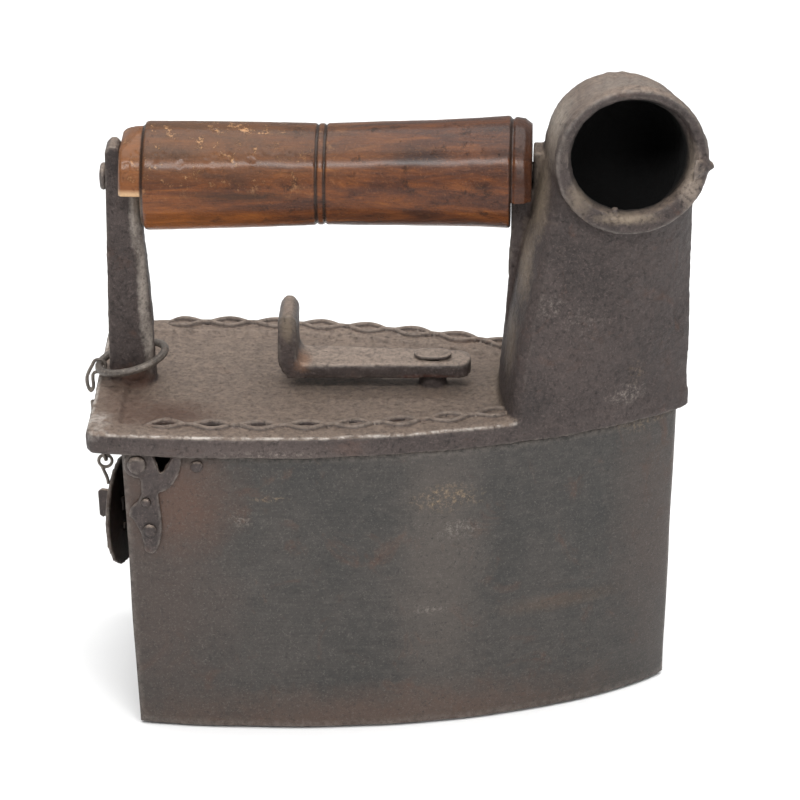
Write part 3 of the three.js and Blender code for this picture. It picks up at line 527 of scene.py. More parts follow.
def close_fits(points):
    """1 near the surfaces of the casting that other pieces turn or sit against."""
    latch = near(points, (LATCH_X - 8, -8, 100), (LATCH_X + 8, 8, 120), 3)
    ears = near(points, (HINGE["x"] - 7, -52, 92), (HINGE["x"] + 7, 52, 106.5), 2)
    heel = near(points, (LID["heel"] - 1, -52, LID["bottom"] - 1), (-88, 52, LID["bottom"] + 1), 2)
    seats = near(points, (-99, -8, 166), (-80, 8, 200), 2) + near(points, (36, -8, 166), (50, 8, 201), 2)
    return np.clip(latch + ears + heel + seats, 0, 1)


def hinge_bore(end):
    radius = HINGE["radius"] + GAP
    return bar("hinge_bore", (HINGE["x"], -end, HINGE["z"]), (HINGE["x"], end, HINGE["z"]), radius)


def soften_lid(lid):
    """Rounds the casting's inner corners and lays three ripples over the elbow's crown."""
    points = positions(lid.data)
    fillets = [near(points, low, high, fade) * share for low, high, fade, share in FILLETS]
    relax(lid, 16, np.max(fillets, axis=0), keep_volume=False)
    points = positions(lid.data)
    x, y, z = points.T
    from_ripples = x - RIPPLES["x"]
    crown = np.clip((z - RIPPLES["above"]) / 3, 0, 1) * np.clip(1.4 - abs(from_ripples) / 8, 0, 1)
    crown *= np.clip((y - RIPPLES["behind"]) / 6, 0, 1)
    points[:, 2] += RIPPLES["height"] * crown * np.cos(2 * math.pi * from_ripples / RIPPLES["length"])
    put_positions(lid.data, points)


RUBBED_PLACES = (  # two corners of each place that is rubbed bright, its fade and its share
    ((42, -48, 112), (45, -44.5, 122), 2, 0.7),
    ((-102, -48, 111), (-97, -34, 114), 3, 0.45),
)
# Soot and painted shade: the inside of the elbow and of the flue is marked near-black.
SOOT_AND_SHADE_EDGE = {"inside": 2.4, "fade": 1.2}  # from the chimney's outside
UNSHADED_WALL = {"right": 8, "fade": 8, "depth": 16}  # the inner right side of the mouth, which stays free of soot and of painted shade
FLUE = {"low": (46, -26, 112), "high": (106, 26, 206), "below_mouth": 186}


def wear_and_highlight_lid(lid):
    """Marks where the casting is rubbed bright: the rim, two corners and the mouth's edge. The band along the
    rim's top edge is also a painted highlight.
    """
    points = positions(lid.data)
    x, y, z = points.T
    rim = LID["half"] * outline_width((x - LID["heel"]) / (LID["toe"] - LID["heel"]))
    inside = np.minimum(rim - abs(y), x - LID["heel"])
    # the rim's top edge: rubbed bright, and a painted highlight along it
    wear_and_highlight = band(inside, 0.8, 0.75) * band(z, LID["top"] - 0.3, 1.0) * (x < CHIMNEY["corner_x"])
    for low, high, fade, share in RUBBED_PLACES:
        wear_and_highlight = np.maximum(wear_and_highlight, share * near(points, low, high, fade))
    from_mouth = points - MOUTH
    radius = np.hypot(from_mouth @ MOUTH_RIGHT, from_mouth[:, 2])
    mouth_edge = band(from_mouth @ MOUTH_WAY, -0.8, 1.5) * band(radius, MOUTH_RADIUS - 0.6, 0.9)
    mark(lid, "wear_and_highlight", np.maximum(wear_and_highlight, 0.16 * mouth_edge))


def soot_and_shade_lid(lid):
    """Marks soot and painted shade, near-black, inside the elbow and down the flue, but not on the mouth's
    right wall, which is left lit.
    """
    points = positions(lid.data)
    from_mouth = points - MOUTH
    depth = from_mouth @ MOUTH_WAY
    along = np.clip((points - ELBOW) @ (MOUTH - ELBOW) / np.sum((MOUTH - ELBOW) ** 2), 0, 1)[:, None]
    from_axis = np.linalg.norm(points - ELBOW - along * (MOUTH - ELBOW), axis=1)
    soot_and_shade = np.clip((CHIMNEY_RADIUS - SOOT_AND_SHADE_EDGE["inside"] - from_axis) / SOOT_AND_SHADE_EDGE["fade"], 0, 1)
    soot_and_shade *= np.clip(-depth / 4, 0, 1)
    right = np.clip((from_mouth @ MOUTH_RIGHT - UNSHADED_WALL["right"]) / UNSHADED_WALL["fade"], 0, 1)
    soot_and_shade *= 1 - right * np.clip((UNSHADED_WALL["depth"] + depth) / 8, 0, 1)
    # the flue's inner walls below the mouth, marked as soot and painted shade
    from_elbow = (points - ELBOW)[:, :2]
    inward = -np.sum(normals(lid.data)[:, :2] * from_elbow, axis=1) / (np.hypot(*from_elbow.T) + 1)
    flue = near(points, FLUE["low"], FLUE["high"], 3) * np.clip((inward - 0.15) / 0.2, 0, 1)
    flue *= np.maximum(points[:, 2] < FLUE["below_mouth"], np.clip((-depth - 10) / 6, 0, 1))
    mark(lid, "soot_and_shade", np.maximum(soot_and_shade, flue))


def band(value, middle, half_width):
    """1 in the middle of a band of values, 0 beyond its half-width."""
    return np.clip(1 - abs(value - middle) / half_width, 0, 1)


def mark(piece, name, amount):
    """Stores one number per vertex for the materials."""
    layer = piece.data.attributes.new(name, "FLOAT", "POINT")
    layer.data.foreach_set("value", amount.astype(np.float32))


# ------------------------------------------------------------------- the firebox

TORN_NOTCH = [(-80.4, 106), (-79.4, 102.2), (-78.4, 99.8), (-78.0, 97.8), (-77.3, 96.6),
              (-76.3, 97.2), (-75.6, 99.4), (-74.3, 101.0), (-73.6, 103.2), (-72.4, 106)]


def body_shell():
    """The two walls and the toe, bent from one sheet, with a worn notch in each top edge."""
    heights = np.linspace(SHELL_LIFT + 0.4, BOX_HIGH["z"] - 0.4, 40)
    outer = np.stack([box_ring(z) for z in [SHELL_LIFT + 0.1, *heights, BOX_HIGH["z"] - 0.1]])
    inner = np.stack([box_ring(z, SHEET) for z in [SHELL_LIFT + 0.1, *heights, BOX_HIGH["z"] - 0.1]])
    for end in (0, -1):
        outer[end] = outer[end] * 0.75 + inner[end] * 0.25
        inner[end] = inner[end] * 0.75 + outer[end] * 0.25
    loops = [np.concatenate([outer[:, i], inner[::-1, i]]) for i in range(outer.shape[1])]
    shell = skin("body_shell_finish", [loop[::-1] for loop in loops])
    notch = side_plate("notch", TORN_NOTCH, 60)
    cut(shell, notch, hinge_bore(60))
    roughen(shell, 0.35, 38, 2, seed=5.5)
    smooth_shading(shell)
    return shell


def sole_plate():
    """The plate that closes the firebox below, inside the walls."""
    inset = SHEET + GAP
    levels = ((0, 0.8), (0.6, 0.1), (SOLE_THICKNESS - 0.5, 0), (SOLE_THICKNESS, 0.5))
    rings = [box_ring(z, inset + edge) for z, edge in levels]
    plate = skin("sole_plate_finish", rings)
    heel = block("heel_cut", (-110, -60, -1), (BOX_LOW["heel"] + SHEET + 2 * GAP, 60, SOLE_THICKNESS + 1))
    cut(plate, heel)
    remesh(plate, 1.2)
    relax(plate, 2)
    points = positions(plate.data)
    roughen(plate, 0.15, 9, 3, seed=2.2, weight=(points[:, 2] > 0.4).astype(float))
    smooth_shading(plate)
    return plate


def refined(node, voxel, steps, depth, size):
    """A finer copy of a small CAD node, with softened edges and a hammered surface."""
    piece = bpy.data.objects.new(node + "_finish", frame["nodes"][node].data.copy())
    bpy.context.scene.collection.objects.link(piece)
    shape = bmesh.new()
    shape.from_mesh(piece.data)
    bmesh.ops.remove_doubles(shape, verts=shape.verts, dist=0.00001)
    shape.to_mesh(piece.data)
    shape.free()
    remesh(piece, voxel)
    relax(piece, steps)
    roughen(piece, depth, size, 3, seed=len(node) * 0.37)
    smooth_shading(piece)
    return piece


# -------------------------------------------------------------------- the handle

GRIP_PROFILE = [(-92.7, 15.6), (-91.8, 16.8), (-85.4, 17.0), (-84.9, 17.6), (-84.2, 18.5), (-83.0, 18.7),
                (-66, 18.4), (-30, 17.7), (-24, 17.4), (-10, 17.6), (14, 18.1), (30, 18.6), (39.4, 19.2),
                (40.6, 19.1), (41.2, 18.0), (42.2, 18.8), (45.3, 18.3), (47.8, 16.4)]
GROOVES = [(-25.4, 0.42, 0.6), (-22.6, 0.42, 0.6), (-84.8, 0.4, 0.4), (40.7, 0.4, 0.5)]


def handle_axis(x):
    """The point of the handle's axis, which falls a little towards the heel, at one X."""
    slope = HANDLE["drop"] / (HANDLE["front"] - HANDLE["rear"])
    return np.array([x, 0.0, HANDLE["z"] + (x - HANDLE["front"]) * slope])


def fractal_row(start, steps, octaves):
    """One fractal value for each step from a start."""
    return np.array([noise.fractal(Vector(start) + Vector(step), 1.0, 2.0, octaves) for step in steps])


def handle_grip():
    """The turned grip, seated on the casting at both ends, its rear collar chipped and broken."""
    stations, radii = np.array(GRIP_PROFILE).T
    x = np.arange(stations[0], stations[-1] + 0.01, 0.4)
    radius = np.interp(x, stations, radii)
    for middle, width, depth in GROOVES:
        radius -= depth * np.exp(-((x - middle) / width) ** 2)
    sides = 180
    turn = np.linspace(0, 2 * math.pi, sides, endpoint=False)
    around = np.column_stack([np.zeros(sides), np.cos(turn), np.sin(turn)])
    rings = []
    for along, r in zip(x, radius):
        wobble = fractal_row((along / 30, 0, 0), around * 1.2, 3)
        chips = fractal_row((along / 4, 9, 0), around * 4.5, 4)
        chipped = np.clip(np.sin(turn) * 1.4, 0, 1) * np.clip((-24 - along) / 14, 0, 1)
        reach = r + 0.2 * wobble - 0.9 * np.clip(chips - 0.3, 0, 0.2) * chipped
        rings.append(handle_axis(along) + around * reach[:, None])
    grip = skin("handle_grip_finish", rings)
    cut(grip, bar("bore", handle_axis(-110), handle_axis(60), ROD_RADIUS + GAP),
        block("rear_notch", (-96, -30, 160), (-85.6 + GAP, 30, SHOULDER + GAP)),
        block("front_notch", (40.8 - GAP, -30, 160), (60, 30, SHOULDER + GAP)),
        side_plate("broken_corner", [(-96, 197), (-85, 205), (-85, 212), (-96, 212)], 30),
        block("rear_end", (-99, -30, 160), (HANDLE["rear"] + GAP, 30, 220)),
        block("front_end", (HANDLE["front"] - GAP, -30, 160), (60, 30, 220)))
    smooth_shading(grip)
    return grip


# --------------------------------------------------------------------- materials

class Shader:
    """A short way to write a node material."""

    def __init__(self, name):
        self.material = bpy.data.materials.new(name)
        self.material.use_nodes = True
        self.tree = self.material.node_tree
        self.surface = self.tree.nodes["Principled BSDF"]
        self.coordinates = self.tree.nodes.new("ShaderNodeTexCoord").outputs["Object"]

    def node(self, kind, inputs=None, **settings):
        made = self.tree.nodes.new(kind)
        for key, value in settings.items():
            setattr(made, key, value)
        for key, value in (inputs or {}).items():
            self.feed(made.inputs[key], value)
        return made

    def feed(self, socket, value):
        if isinstance(value, bpy.types.NodeSocket):
            self.tree.links.new(value, socket)
        else:
            socket.default_value = value

    def stretched(self, scale):
        return self.node("ShaderNodeMapping", {"Vector": self.coordinates, "Scale": scale}).outputs["Vector"]

    def noise(self, size, detail=4.0, roughness=0.55, vector=None, distortion=0.0):
        """A noise whose lumps are about size millimetres across."""
        inputs = {"Vector": vector or self.coordinates, "Scale": 1 / (size * MM), "Detail": detail,
                  "Roughness": roughness, "Distortion": distortion}
        return self.node("ShaderNodeTexNoise", inputs).outputs["Fac"]

    def ramp(self, value, stops):
        made = self.node("ShaderNodeValToRGB", {"Fac": value})
        points = made.color_ramp.elements
        while len(points) < len(stops):
            points.new(0.5)
        for point, (place, colour) in zip(points, stops):
            point.position = place
            point.color = (*colour, 1)
        return made.outputs["Color"]

    def step(self, value, low, high):
        inputs = {"Value": value, "From Min": low, "From Max": high, "To Min": 0.0, "To Max": 1.0}
        return self.node("ShaderNodeMapRange", inputs, clamp=True).outputs["Result"]

    def math(self, operation, a, b=0.5):
        made = self.node("ShaderNodeMath", operation=operation)
        self.feed(made.inputs[0], a)
        self.feed(made.inputs[1], b)
        return made.outputs[0]

    def mix(self, share, a, b):
        made = self.node("ShaderNodeMix", data_type="RGBA")
        self.feed(made.inputs["Factor"], share)
        for key, value in (("A", a), ("B", b)):
            socket = [s for s in made.inputs if s.name == key and s.type == "RGBA"][0]
            self.feed(socket, value if isinstance(value, bpy.types.NodeSocket) else (*value, 1))
        return [s for s in made.outputs if s.type == "RGBA"][0]

    def range(self, value, low, high):
        inputs = {"Value": value, "From Min": 0.0, "From Max": 1.0, "To Min": low, "To Max": high}
        return self.node("ShaderNodeMapRange", inputs, clamp=True).outputs["Result"]

    def axis(self, name):
        return self.node("ShaderNodeSeparateXYZ", {"Vector": self.coordinates}).outputs[name]

    def product(self, first, *others):
        for other in others:
            first = self.math("MULTIPLY", first, other)
        return first

    def facing_up(self):
        normal = self.node("ShaderNodeNewGeometry").outputs["Normal"]
        return self.node("ShaderNodeSeparateXYZ", {"Vector": normal}).outputs["Z"]

    def patch(self, centre, size, ragged=0.7, scratchy=False):
        """1 at a place, fading over a size in X, Y and Z, with a ragged edge."""
        away = self.node("ShaderNodeVectorMath", {0: self.coordinates, 1: tuple(c * MM for c in centre)},
                         operation="SUBTRACT").outputs["Vector"]
        scaled = self.node("ShaderNodeVectorMath", {0: away, 1: tuple(1 / (d * MM) for d in size)},
                           operation="MULTIPLY").outputs["Vector"]
        distance = self.node("ShaderNodeVectorMath", {0: scaled}, operation="LENGTH").outputs["Value"]
        torn = self.noise(max(1.6, min(size) * 0.6), 8, 0.8)
        inside = self.step(self.math("ADD", distance, self.range(torn, -ragged, ragged)), 1.05, 0.3)
        if not scratchy:
            return inside
        return self.product(inside, self.step(self.noise(1.6, 6, 0.85), 0.5, 0.62))

    def stored(self, name):
        return self.node("ShaderNodeAttribute", attribute_name=name).outputs["Fac"]

    def bump(self, *layers):
        """Each layer is a height and its depth in millimetres."""
        normal = None
        for height, depth in layers:
            inputs = {"Height": height, "Strength": 1.0, "Distance": depth * MM}
            if normal is not None:
                inputs["Normal"] = normal
            normal = self.node("ShaderNodeBump", inputs).outputs["Normal"]
        return normal

    def finish(self, colour, roughness, metallic, normal):
        values = {"Base Color": colour, "Roughness": roughness, "Metallic": metallic, "Normal": normal}
        for key, value in values.items():
            self.feed(self.surface.inputs[key], value)
        return self.material


METALLIC = 0.3
# near-black for the soot and painted shade inside the flue
SOOT_AND_SHADE_BLACK = (0.004, 0.004, 0.004)
FLECK = (0.2, 0.165, 0.135)
WORN_EDGE = (0.25, 0.215, 0.185)
# bright rubbed metal, which along the lid's rim is also a painted highlight
BRIGHT_METAL_AND_HIGHLIGHT = (0.62, 0.57, 0.52)


def iron(name, dark, light, rust, rusty, shine, grain, dust=None, streaks=0.0, patches=()):
    """Old iron: mottled oxide, brown rust, worn bright edges, fine pits, dark rust and painted shade in
    hollows, rubbed bright metal where marked, which along the lid's rim is also a painted highlight,
    near-black soot and painted shade where marked and, if given, dust on top, level brush streaks and
    patches, each a centre, a size, a colour and a strength; some patches are painted highlights."""
    s = Shader(name)
    colour = s.mix(s.step(s.noise(30, 6, 0.62), 0.36, 0.64), dark, light)
    mottle = s.step(s.noise(3.6, 7, 0.7), 0.46, 0.72)
    colour = s.mix(s.product(mottle, 0.6), colour, [c * 1.5 for c in light])
    spots = s.step(s.noise(17, 8, 0.72, distortion=0.8), 0.64 - 0.16 * rusty, 0.8 - 0.1 * rusty)
    colour = s.mix(s.product(spots, 0.7), colour, rust)
    if dust:
        grains = s.step(s.noise(2.0, 6, 0.85), 0.36, 0.58)
        clouds = s.range(s.noise(9, 7, 0.75), 0.55, 1.0)
        up = s.product(s.step(s.facing_up(), 0.35, 0.95), clouds, s.range(grains, 0.3, 0.9))
        colour = s.mix(up, colour, dust)
    if streaks:
        brushed = s.noise(1.2, 6, 0.7, vector=s.stretched((0.09, 0.09, 1.0)))
        colour = s.mix(s.product(s.step(brushed, 0.5, 0.74), streaks), colour, [c * 1.8 for c in light])
        colour = s.mix(s.product(s.step(brushed, 0.48, 0.28), streaks), colour, [c * 0.5 for c in dark])
    for centre, size, tint, strength in patches:
        spot = s.patch(centre, size, scratchy=tint in (CHALK, OCHRE))
        colour = s.mix(s.product(spot, strength), colour, tint)
    pits = s.step(s.noise(1.5, 6, 0.85), 0.54, 0.68)
    colour = s.mix(s.product(pits, 0.8), colour, [c * 0.3 for c in dark])
    salt = s.step(s.noise(0.8, 4, 0.9), 0.54, 0.72)
    colour = s.mix(s.product(salt, 0.75), colour, [c * 3.2 for c in light])
    flecks = s.step(s.noise(2.3, 6, 0.85), 0.68, 0.74)
    colour = s.mix(s.product(flecks, 0.45), colour, FLECK)
    point = s.node("ShaderNodeNewGeometry").outputs["Pointiness"]
    # a dark rust tone in concave places: dirt, and painted shade there as well
    hollow = s.step(point, 0.495, 0.45)
    colour = s.mix(s.product(hollow, 0.55), colour, [c * 0.3 for c in rust])
    broken = s.product(s.step(point, 0.512, 0.565), s.step(s.noise(2.2, 6, 0.75), 0.4, 0.6))
    colour = s.mix(s.product(broken, 0.6), colour, WORN_EDGE)
    soot_and_shade = s.stored("soot_and_shade")
    # near-black soot and painted shade inside the flue, where marked
    colour = s.mix(s.product(soot_and_shade, 0.97), colour, SOOT_AND_SHADE_BLACK)
    # rubbed bright metal where marked; along the lid's rim it is also a painted highlight
    rubbed_and_highlight = s.product(s.stored("wear_and_highlight"), s.step(s.noise(5, 8, 0.8), 0.43, 0.58))
    colour = s.mix(rubbed_and_highlight, colour, BRIGHT_METAL_AND_HIGHLIGHT)
    gloss = s.math("ADD", s.range(s.noise(9, 5, 0.6), *shine), s.product(spots, 0.12))
    gloss = s.math("ADD", gloss, s.product(soot_and_shade, 0.4))
    layers = [(s.noise(2.4, 6, 0.75), grain * 4), (s.noise(0.9, 5, 0.8), grain * 2.2), (pits, -grain)]
    if streaks:
        layers.append((s.noise(0.5, 3, 0.6, vector=s.stretched((0.04, 0.04, 1.0))), 0.05))
    return s.finish(colour, gloss, METALLIC, s.bump(*layers))


FIGURE = [(0.3, (0.016, 0.006, 0.004)), (0.44, (0.062, 0.019, 0.008)), (0.57, (0.13, 0.038, 0.009)),
          (0.76, (0.3, 0.105, 0.02))]
FIBRE = (0.026, 0.01, 0.006)
AMBER = (0.36, 0.115, 0.022)
HANDLED_TOP = (0.03, 0.013, 0.007)
DULL_VARNISH = (0.14, 0.07, 0.03)
BLACK_KNOT = (0.014, 0.005, 0.003)
CHIPPED_WOOD = (0.46, 0.25, 0.12)
PALE_COLLAR = (0.27, 0.1, 0.03)
BARE_WOOD = (0.55, 0.36, 0.2)
GRIME = (0.012, 0.007, 0.005)
SPECK = (0.01, 0.006, 0.004)
PORE = (0.3, 0.13, 0.05)
# painted shade for the grip's front end
END_SHADE = (0.03, 0.012, 0.007)
DARK_STREAK = (0.014, 0.007, 0.004)


def varnished_wood(name):
    """Turned wood under old varnish: slanting dark figure, amber lights, a knot and tan chips."""
    s = Shader(name)
    x = s.axis("X")
    y = s.axis("Y")
    z = s.axis("Z")
    along = s.stretched((0.13, 1.0, 1.0))
    fibre = s.noise(1.6, 7, 0.7, vector=along, distortion=0.3)
    slanted = s.node("ShaderNodeMapping", {"Vector": s.coordinates, "Rotation": (0, math.radians(-14), 0),
                                          "Scale": (0.2, 1.0, 1.0)}).outputs["Vector"]
    figure = s.noise(11, 6, 0.62, vector=slanted, distortion=1.6)
    top = s.step(z, 0.188, 0.202)
    dull = s.product(s.step(x, 0.01, -0.05), top, s.range(s.noise(9, 6, 0.7), 0.2, 0.9))
    knots = s.patch((9, -13, 201), (14, 9, 5), 0.35), s.patch((31, -17, 192), (5, 6, 2.4), 0.35)
    chipped = s.product(s.step(x, -0.012, -0.05), s.step(z, 0.184, 0.197))
    chips = s.product(s.step(s.noise(6, 8, 0.85), 0.56, 0.6), chipped)
    grime = s.product(s.step(s.noise(7.7, 7, 0.85), 0.57, 0.65), s.range(chipped, 1.0, 0.4))
    layers = [
        (s.step(fibre, 0.48, 0.72), 0.6, FIBRE),
        (s.product(s.step(x, -0.03, -0.07), s.step(z, 0.187, 0.174), s.range(figure, 0.2, 1.0)), 0.75, AMBER),
        (top, 0.45, HANDLED_TOP),
        (dull, 0.6, DULL_VARNISH),
        (s.math("MAXIMUM", *knots), 0.8, BLACK_KNOT),
        (chips, 0.85, CHIPPED_WOOD),
        (s.product(s.step(x, -0.0845, -0.086), s.range(s.noise(4, 6, 0.7), 0.2, 1.0)), 0.6, PALE_COLLAR),
        (s.product(s.step(x, -0.0845, -0.0855), s.step(z, 0.1885, 0.1868), s.step(y, 0.0, -0.004)), 0.8,
         BARE_WOOD),
        (grime, 0.75, GRIME),
        (s.step(s.noise(1.4, 5, 0.85), 0.58, 0.68), 0.65, SPECK),
        (s.step(s.noise(0.9, 4, 0.85), 0.54, 0.66), 0.22, PORE),
        # the grip's front end darkened: painted shade
        (s.step(x, 0.041, 0.043), 0.6, END_SHADE),
        (s.patch((-52, -17, 187), (26, 9, 2.2), 0.5), 0.75, DARK_STREAK),
    ]
    for middle, width, _ in GROOVES:
        away = s.math("ABSOLUTE", s.math("SUBTRACT", x, middle * MM))
        layers.append((s.step(away, width * 2 * MM, width * 0.8 * MM), 0.85, GRIME))
    colour = s.ramp(figure, FIGURE)
    for where, share, tint in layers:
        colour = s.mix(s.product(where, share), colour, tint)
    gloss = s.range(s.noise(6, 6, 0.65), 0.2, 0.42)
    gloss = s.math("ADD", gloss, s.product(s.math("MAXIMUM", chips, dull), 0.25))
    normal = s.bump((fibre, 0.3), (s.noise(1.1, 5, 0.65, vector=along), 0.2), (s.noise(3, 5, 0.8), 0.4),
                    (chips, -0.2), (grime, -0.15))
    s.surface.inputs["Specular IOR Level"].default_value = 0.15
    s.surface.inputs["Coat Weight"].default_value = 0.28
    s.surface.inputs["Coat Roughness"].default_value = 0.2
    return s.finish(colour, gloss, 0.0, normal)


DARK = (0.031, 0.023, 0.021)
LIGHT = (0.054, 0.04, 0.036)
SLATE = (0.026, 0.025, 0.023)
PALE_SLATE = (0.041, 0.036, 0.032)
RUST = (0.09, 0.041, 0.024)
DUST = (0.31, 0.235, 0.18)
FORGED_DUST = (0.5, 0.39, 0.31)
# rubbed metal, also used as a painted highlight on the post's bevel
RUBBED_AND_HIGHLIGHT = (0.42, 0.37, 0.32)
TAN = (0.25, 0.195, 0.14)
OCHRE = (0.26, 0.18, 0.1)
CHALK = (0.33, 0.29, 0.25)
WARM = (0.056, 0.039, 0.032)
RUSTY = (0.085, 0.043, 0.028)
# Patches: a centre and a size in millimetres, a colour and a strength.
SHEET_PATCHES = (
    ((-80, -46, 52), (34, 60, 70), WARM, 0.7),
    ((0, -46, 2), (110, 60, 16), (0.08, 0.049, 0.036), 0.75),
    ((-72, -46, 88), (24, 60, 24), RUSTY, 0.7),
    ((92, 0, 60), (22, 40, 60), WARM, 0.6),
    # a paler band down the near wall, about X 0 to 37: a painted sheen
    ((18, -44, 60), (19, 60, 60), (0.086, 0.069, 0.058), 0.5),
    ((20, -42, 86), (14, 60, 6), OCHRE, 0.8),
    ((25, -42, 74), (9, 60, 4), CHALK, 0.4),
    ((-40, -48, 88), (8, 60, 1.4), OCHRE, 0.8),
    ((16, -44, 44), (10, 60, 2), CHALK, 0.4),
    ((-50, -44, 80), (5, 60, 3), CHALK, 0.35),
    ((60, -36, 41), (26, 60, 4), (0.1, 0.06, 0.036), 0.3),
    ((88, -16, 103), (12, 30, 4), OCHRE, 0.5),
    ((-100, -8, 60), (7, 16, 24), RUSTY, 0.85),
)
CAST_PATCHES = (
    ((-76, -30, 112), (20, 16, 8), RUSTY, 0.8),
    ((-92, -20, 112), (12, 30, 8), RUSTY, 0.5),
    ((-12, -52, 107), (6, 6, 5), (0.1, 0.05, 0.035), 0.8),
    ((-30, -52, 106), (80, 7, 6), (0.1, 0.076, 0.068), 0.6),
    ((-40, -52, 106), (26, 6, 2), CHALK, 0.6),
    # a tan strip down the chimney's left fillet and the lug to the lid: a painted highlight
    ((51, -12, 188), (4, 12, 26), TAN, 0.8),
    ((47, -13, 158), (4, 12, 24), TAN, 0.8),
    ((43, -15, 130), (4, 12, 18), TAN, 0.7),
    ((41, 0, 112), (9, 30, 4), TAN, 0.6),
    # pale patch on the elbow's upper left: dust and a painted highlight
    ((57, -12, 211), (8, 22, 16), (0.3, 0.25, 0.2), 0.8),
    ((83, -31, 186), (15, 4, 3), TAN, 0.9),
    ((64, -31, 194), (6, 4, 8), TAN, 0.5),
    # pale patch on the elbow's crown: dust and a painted highlight from above
    ((78, -10, 228), (22, 18, 6), (0.2, 0.17, 0.145), 0.5),
    # pale patch on the mouth's inner right wall: painted light
    ((101, -22, 200), (5, 12, 14), (0.36, 0.29, 0.23), 0.8),
    ((82, -22, 116), (8, 14, 5), CHALK, 0.7),
    ((85, -24, 123), (4, 14, 7), OCHRE, 0.7),
    ((55, -34, 153), (6, 14, 5), CHALK, 0.45),
    ((66, -30, 146), (9, 14, 8), CHALK, 0.22),
    # pale strips down the post's bevelled front edge: rubbed metal and a painted highlight
    ((-88, -5, 176), (2.4, 3.4, 16), RUBBED_AND_HIGHLIGHT, 0.8),
    ((-85.6, -5, 150), (2.4, 3.4, 26), RUBBED_AND_HIGHLIGHT, 0.8),
    ((-83.6, -5, 126), (2.4, 3.4, 14), RUBBED_AND_HIGHLIGHT, 0.75),
    ((-89, -5, 113), (8, 4, 6), RUSTY, 0.9),
)
LEVER_PATCHES = (
    ((12, -8, 116), (13, 6, 1.8), (0.08, 0.025, 0.016), 0.8),
    ((-31, -4, 121), (4, 8, 4), (0.3, 0.15, 0.08), 0.7),
    ((-36, -9, 136), (3, 3, 8), TAN, 0.6),
)
IRONS = {
    "cast_iron": {"dark": DARK, "light": LIGHT, "rusty": 0.4, "shine": (0.46, 0.66), "grain": 0.14,
                  "dust": DUST, "patches": CAST_PATCHES},
    "sheet_iron": {"dark": SLATE, "light": PALE_SLATE, "rusty": 0.5, "shine": (0.4, 0.56), "grain": 0.04,
                   "streaks": 0.3, "patches": SHEET_PATCHES},
    "forged_iron": {"dark": DARK, "light": LIGHT, "rusty": 0.5, "shine": (0.38, 0.56), "grain": 0.09,
                    "dust": FORGED_DUST, "patches": LEVER_PATCHES},
    "wire": {"dark": (0.06, 0.05, 0.043), "light": (0.13, 0.11, 0.092), "rusty": 0.3,
             "shine": (0.38, 0.55), "grain": 0.04},
    "sole_iron": {"dark": (0.05, 0.04, 0.035), "light": (0.09, 0.075, 0.066), "rusty": 0.6,
                  "shine": (0.35, 0.6), "grain": 0.05},
}
MATERIALS = {name: iron(name, rust=RUST, **settings) for name, settings in IRONS.items()}
MATERIALS["varnished_wood"] = varnished_wood("varnished_wood")

# ----------------------------------------------------------------------- pieces

BODY_OF = {node: body for body, members in frame["record"]["behaviour"]["bodies"].items() for node in members}
SLOT_OF = {row["node"]: row["material_slot"] for row in frame["record"]["subparts"]}


def place(piece, node):
    """Gives a piece its material and lets it stand for its CAD node."""
    piece.data.materials.clear()
    piece.data.materials.append(MATERIALS[SLOT_OF[node]])
    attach(piece, BODY_OF[node])
    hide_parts(node)


NEW_SHAPES = {"lid_casting": lid_casting, "body_shell": body_shell, "sole_plate": sole_plate,
              "handle_grip": handle_grip}
WIRES = ("post_ring", "upper_link", "lower_link", "door_hook")
for node, make in NEW_SHAPES.items():
    place(make(), node)
for node in sorted(set(BODY_OF) - set(NEW_SHAPES)):
    if node in WIRES:
        place(refined(node, voxel=0.24, steps=6, depth=0.05, size=2.0), node)
    else:
        low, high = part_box(node)
        voxel = float(np.clip(max(high - low) / MM / 70, 0.22, 0.9))
        place(refined(node, voxel, steps=4, depth=min(0.14, 0.02 + voxel * 0.15), size=3.5), node)


# ------------------------------------------------------- floor, lights and camera

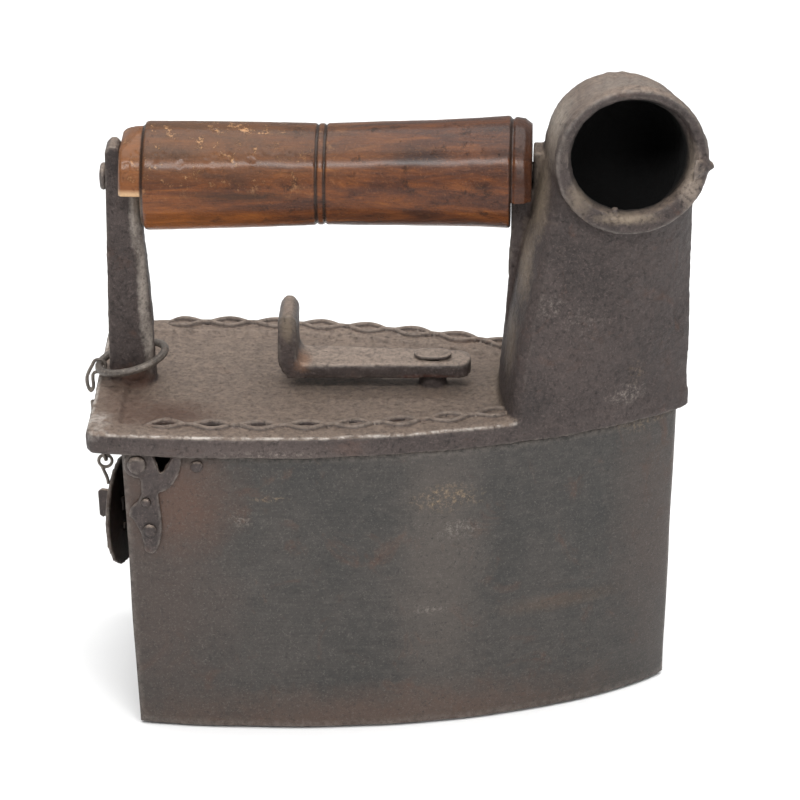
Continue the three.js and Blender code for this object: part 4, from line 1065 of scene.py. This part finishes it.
def pale_floor():
    reach = 4000
    corners = [(-reach, -reach, 0), (reach, -reach, 0), (reach, reach, 0), (-reach, reach, 0)]
    floor = new_object("floor", corners, [(0, 1, 2, 3)])
    s = Shader("floor_paper")
    colour = s.mix(s.noise(60, 3), (0.8, 0.8, 0.8), (0.84, 0.84, 0.84))
    floor.data.materials.append(s.finish(colour, 0.8, 0.0, s.bump((s.noise(1.5), 0.02))))


CENTRE = (0, 0, 0.1)
CAMERA = {"elevation": 24.0, "azimuth": 2.3, "distance": 1.9, "lens": 246, "sensor": 36,
          "aim": (0, 0, 0.110), "right": 0.0026, "down": 0.0051}
WORLD_STRENGTH = 0.42


def soft_light(name, place_at, width, height, power):
    data = bpy.data.lights.new(name, "AREA")
    data.shape = "RECTANGLE"
    data.size = width
    data.size_y = height
    data.energy = power
    lamp = bpy.data.objects.new(name, data)
    lamp.location = place_at
    lamp.rotation_euler = (Vector(CENTRE) - Vector(place_at)).to_track_quat("-Z", "Y").to_euler()
    bpy.context.scene.collection.objects.link(lamp)


def camera():
    elevation = math.radians(CAMERA["elevation"])
    azimuth = math.radians(CAMERA["azimuth"])
    level = Vector((math.sin(azimuth), -math.cos(azimuth), 0))
    back = level * math.cos(elevation) + Vector((0, 0, math.sin(elevation)))
    right = Vector((math.cos(azimuth), math.sin(azimuth), 0))
    up = back.cross(right)
    aim = Vector(CAMERA["aim"]) + right * CAMERA["right"] - up * CAMERA["down"]
    data = bpy.data.cameras.new("camera")
    data.sensor_width = CAMERA["sensor"]
    data.lens = CAMERA["lens"]
    made = bpy.data.objects.new("camera", data)
    made.location = aim + back * CAMERA["distance"]
    made.rotation_euler = (-back).to_track_quat("-Z", "Y").to_euler()
    bpy.context.scene.collection.objects.link(made)
    bpy.context.scene.camera = made


def world():
    made = bpy.data.worlds.new("studio")
    made.use_nodes = True
    background = made.node_tree.nodes["Background"]
    background.inputs["Color"].default_value = (1, 1, 1, 1)
    background.inputs["Strength"].default_value = WORLD_STRENGTH
    bpy.context.scene.world = made


pale_floor()
world()
camera()
soft_light("key", (-0.1, -0.98, 1.1), 1.1, 0.18, 13)
soft_light("top", (0.05, 0.2, 1.6), 2.6, 1.8, 42)
soft_light("sheen", (0.62, -1.25, 0.75), 0.28, 0.9, 5)
bpy.context.scene.view_settings.view_transform = "Standard"
